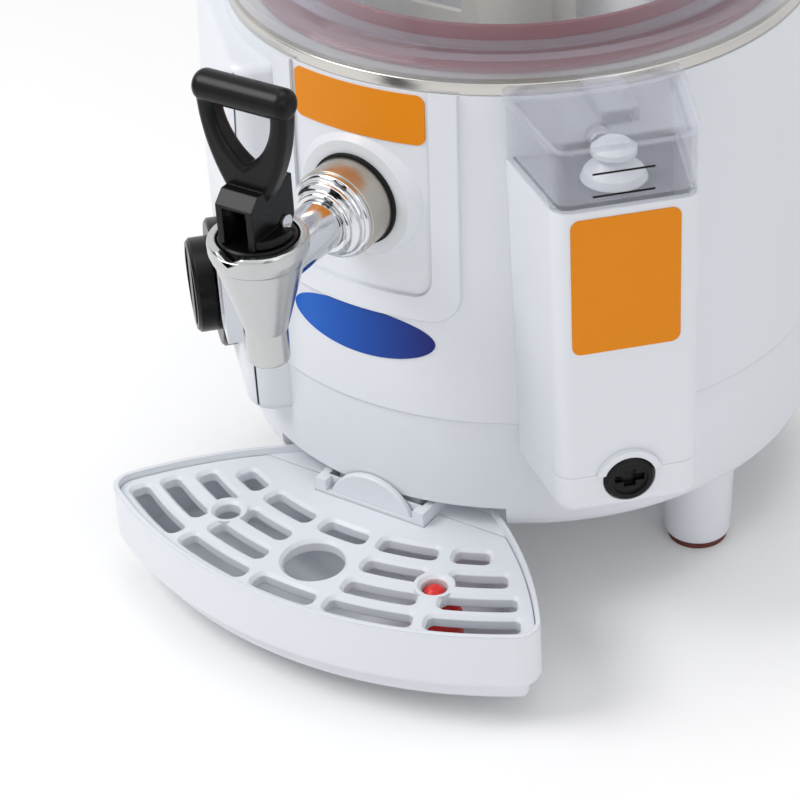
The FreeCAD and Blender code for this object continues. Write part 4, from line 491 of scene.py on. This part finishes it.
# %% Level lines
BOX_ANGLE = math.radians(45.0)
LINE_FACE, LINE_HALF_HEIGHT, LINE_THICK = 181.0, 0.45, 0.08
LINE_LEFT, LINE_RIGHT, HIGHEST_Z, LOWEST_Z = -14.6, 11.3, 250.8, 240.6


def on_box(d, t, z):
    """Point from distance out, distance across and height, in the water box's own frame."""
    return np.array([d * math.sin(BOX_ANGLE) + t * math.cos(BOX_ANGLE),
                     -d * math.cos(BOX_ANGLE) + t * math.sin(BOX_ANGLE), z])


def level_line(z):
    """Eight corners of a flat strip on the tank's front."""
    return [on_box(d, t, z + side * LINE_HALF_HEIGHT)
            for d in (LINE_FACE, LINE_FACE + LINE_THICK) for side in (-1, 1)
            for t in (LINE_LEFT, LINE_RIGHT)]


STRIP_FACES = np.array([(0, 1, 3, 2), (4, 6, 7, 5), (0, 4, 5, 1), (2, 3, 7, 6), (0, 2, 6, 4),
                        (1, 5, 7, 3)])
lines = np.array([level_line(HIGHEST_Z), level_line(LOWEST_Z)]).reshape(-1, 3)
corners_each = len(lines) // 2
mesh_piece("level_lines", lines, np.concatenate([STRIP_FACES, STRIP_FACES + corners_each]),
           BLACK, "machine")

# %% [markdown]
# ## Floor and light
# The picture has a plain white ground with a soft shadow to the right. The floor is pale and
# takes the lamps' shadow. Beyond it, rays from the camera, from mirrors and through clear
# pieces see a plain white sky, while the sky lights everything else at a lower level.

# %% Floor
FLOOR_HALF = 12.0


def make_floor():
    """Flat square at the height the machine stands on."""
    half = FLOOR_HALF
    corners = [(-half, -half, 0), (half, -half, 0), (half, half, 0), (-half, half, 0)]
    mesh = bpy.data.meshes.new("floor")
    mesh.from_pydata(corners, [], [(0, 1, 2, 3)])
    floor = bpy.data.objects.new("floor", mesh)
    bpy.context.scene.collection.objects.link(floor)
    return floor


def floor_finish():
    material, g, shader = new_material("floor_paint")
    drift = place_group(g, DRIFT, Roughness=0.7, Spread=0.05, Scale=3.0)
    shader.inputs["Base Color"].default_value = (0.93, 0.93, 0.935, 1.0)
    g.feed(shader.inputs["Roughness"], drift.outputs["Roughness"])
    return material


floor = make_floor()
floor.data.materials.append(floor_finish())
print("floor of", 2 * FLOOR_HALF, "m")

# %% Sky
def make_world(level):
    """White for camera, mirror and lens rays; a plain level for everything else."""
    world = bpy.data.worlds.new("studio")
    bpy.context.scene.world = world
    world.use_nodes = True
    world.node_tree.nodes.clear()
    g = Graph(world.node_tree)
    path = g.node("ShaderNodeLightPath")
    seen = g.math("MAXIMUM", path.outputs["Is Camera Ray"], path.outputs["Is Transmission Ray"])
    seen = g.math("MAXIMUM", seen, path.outputs["Is Glossy Ray"])
    strength = g.ramp(seen, 0.0, 1.0, level, 1.0)
    shade = g.node("ShaderNodeBackground", Color=(1.0, 1.0, 1.0), Strength=strength)
    g.node("ShaderNodeOutputWorld", Surface=shade.outputs["Background"])


SKY_LEVEL = 0.55
make_world(SKY_LEVEL)
print("world made")

# %% Lamps
def area_lamp(name, place, target, width, watts):
    """Square lamp at a place, aimed at a target."""
    data = bpy.data.lights.new(name, "AREA")
    data.size = width
    data.energy = watts
    lamp = bpy.data.objects.new(name, data)
    bpy.context.scene.collection.objects.link(lamp)
    lamp.location = place
    lamp.rotation_euler = (Vector(target) - Vector(place)).to_track_quat("-Z", "Y").to_euler()
    return lamp


AIM = (0.0, -0.05, 0.18)
area_lamp("key", (-0.9, -0.9, 1.5), AIM, 0.9, 16.5)
area_lamp("fill", (1.5, -1.0, 0.9), AIM, 1.2, 5.0)
area_lamp("top", (0.1, 0.3, 1.9), AIM, 1.2, 8.5)
print("three lamps")

# %% Dark cards for the plated metal
def dark_card(name, place, target, width, height):
    """Card that only mirrors see: it draws dark edges on plated metal, as in a studio."""
    x, y = width / 2, height / 2
    mesh = bpy.data.meshes.new(name)
    mesh.from_pydata([(-x, -y, 0), (x, -y, 0), (x, y, 0), (-x, y, 0)], [], [(0, 1, 2, 3)])
    card = bpy.data.objects.new(name, mesh)
    bpy.context.scene.collection.objects.link(card)
    turn = (Vector(target) - Vector(place)).to_track_quat("-Z", "Y").to_matrix().to_4x4()
    card.matrix_world = Matrix.Translation(place) @ turn
    card.visible_camera = card.visible_diffuse = card.visible_shadow = False
    card.visible_transmission = card.visible_volume_scatter = False
    mesh.materials.append(moulded(name + "_cloth", (0.03, 0.03, 0.035), 0.9))


dark_card("card_right", (0.75, -0.75, 0.25), (0, -0.2, 0.2), 0.28, 0.9)
dark_card("card_left", (-0.8, -0.55, 0.3), (0, -0.2, 0.2), 0.3, 0.9)
print("two cards")

# %% [markdown]
# ## Camera
# The picture was taken from the right and above, fairly near and with a long lens, and it
# only takes in the front of the machine. The camera's place, turn and lens below were worked
# out from edges of known size in the picture.

# %% Camera
CAMERA_PLACE = Vector((563.163, -906.766, 744.991)) * MM
AZIMUTH, ELEVATION, ROLL = (math.radians(a) for a in (35.39, 33.96, -3.65))
LENS_MM, SENSOR_MM = 114.6, 36.0


def camera_turn():
    """Rotation whose columns are the camera's right, up and backward directions."""
    back = Vector((math.sin(AZIMUTH) * math.cos(ELEVATION),
                   -math.cos(AZIMUTH) * math.cos(ELEVATION), math.sin(ELEVATION)))
    level = Vector((math.cos(AZIMUTH), math.sin(AZIMUTH), 0.0))
    upright = back.cross(level)
    right = level * math.cos(ROLL) + upright * math.sin(ROLL)
    up = upright * math.cos(ROLL) - level * math.sin(ROLL)
    return Matrix((right, up, back)).transposed()


lens = bpy.data.cameras.new("camera")
lens.lens, lens.sensor_width = LENS_MM, SENSOR_MM
camera = bpy.data.objects.new("camera", lens)
camera.matrix_world = Matrix.Translation(CAMERA_PLACE) @ camera_turn().to_4x4()
bpy.context.scene.collection.objects.link(camera)
bpy.context.scene.camera = camera
bpy.context.scene.view_settings.view_transform = "Standard"
print("camera at", tuple(round(c, 3) for c in camera.location))
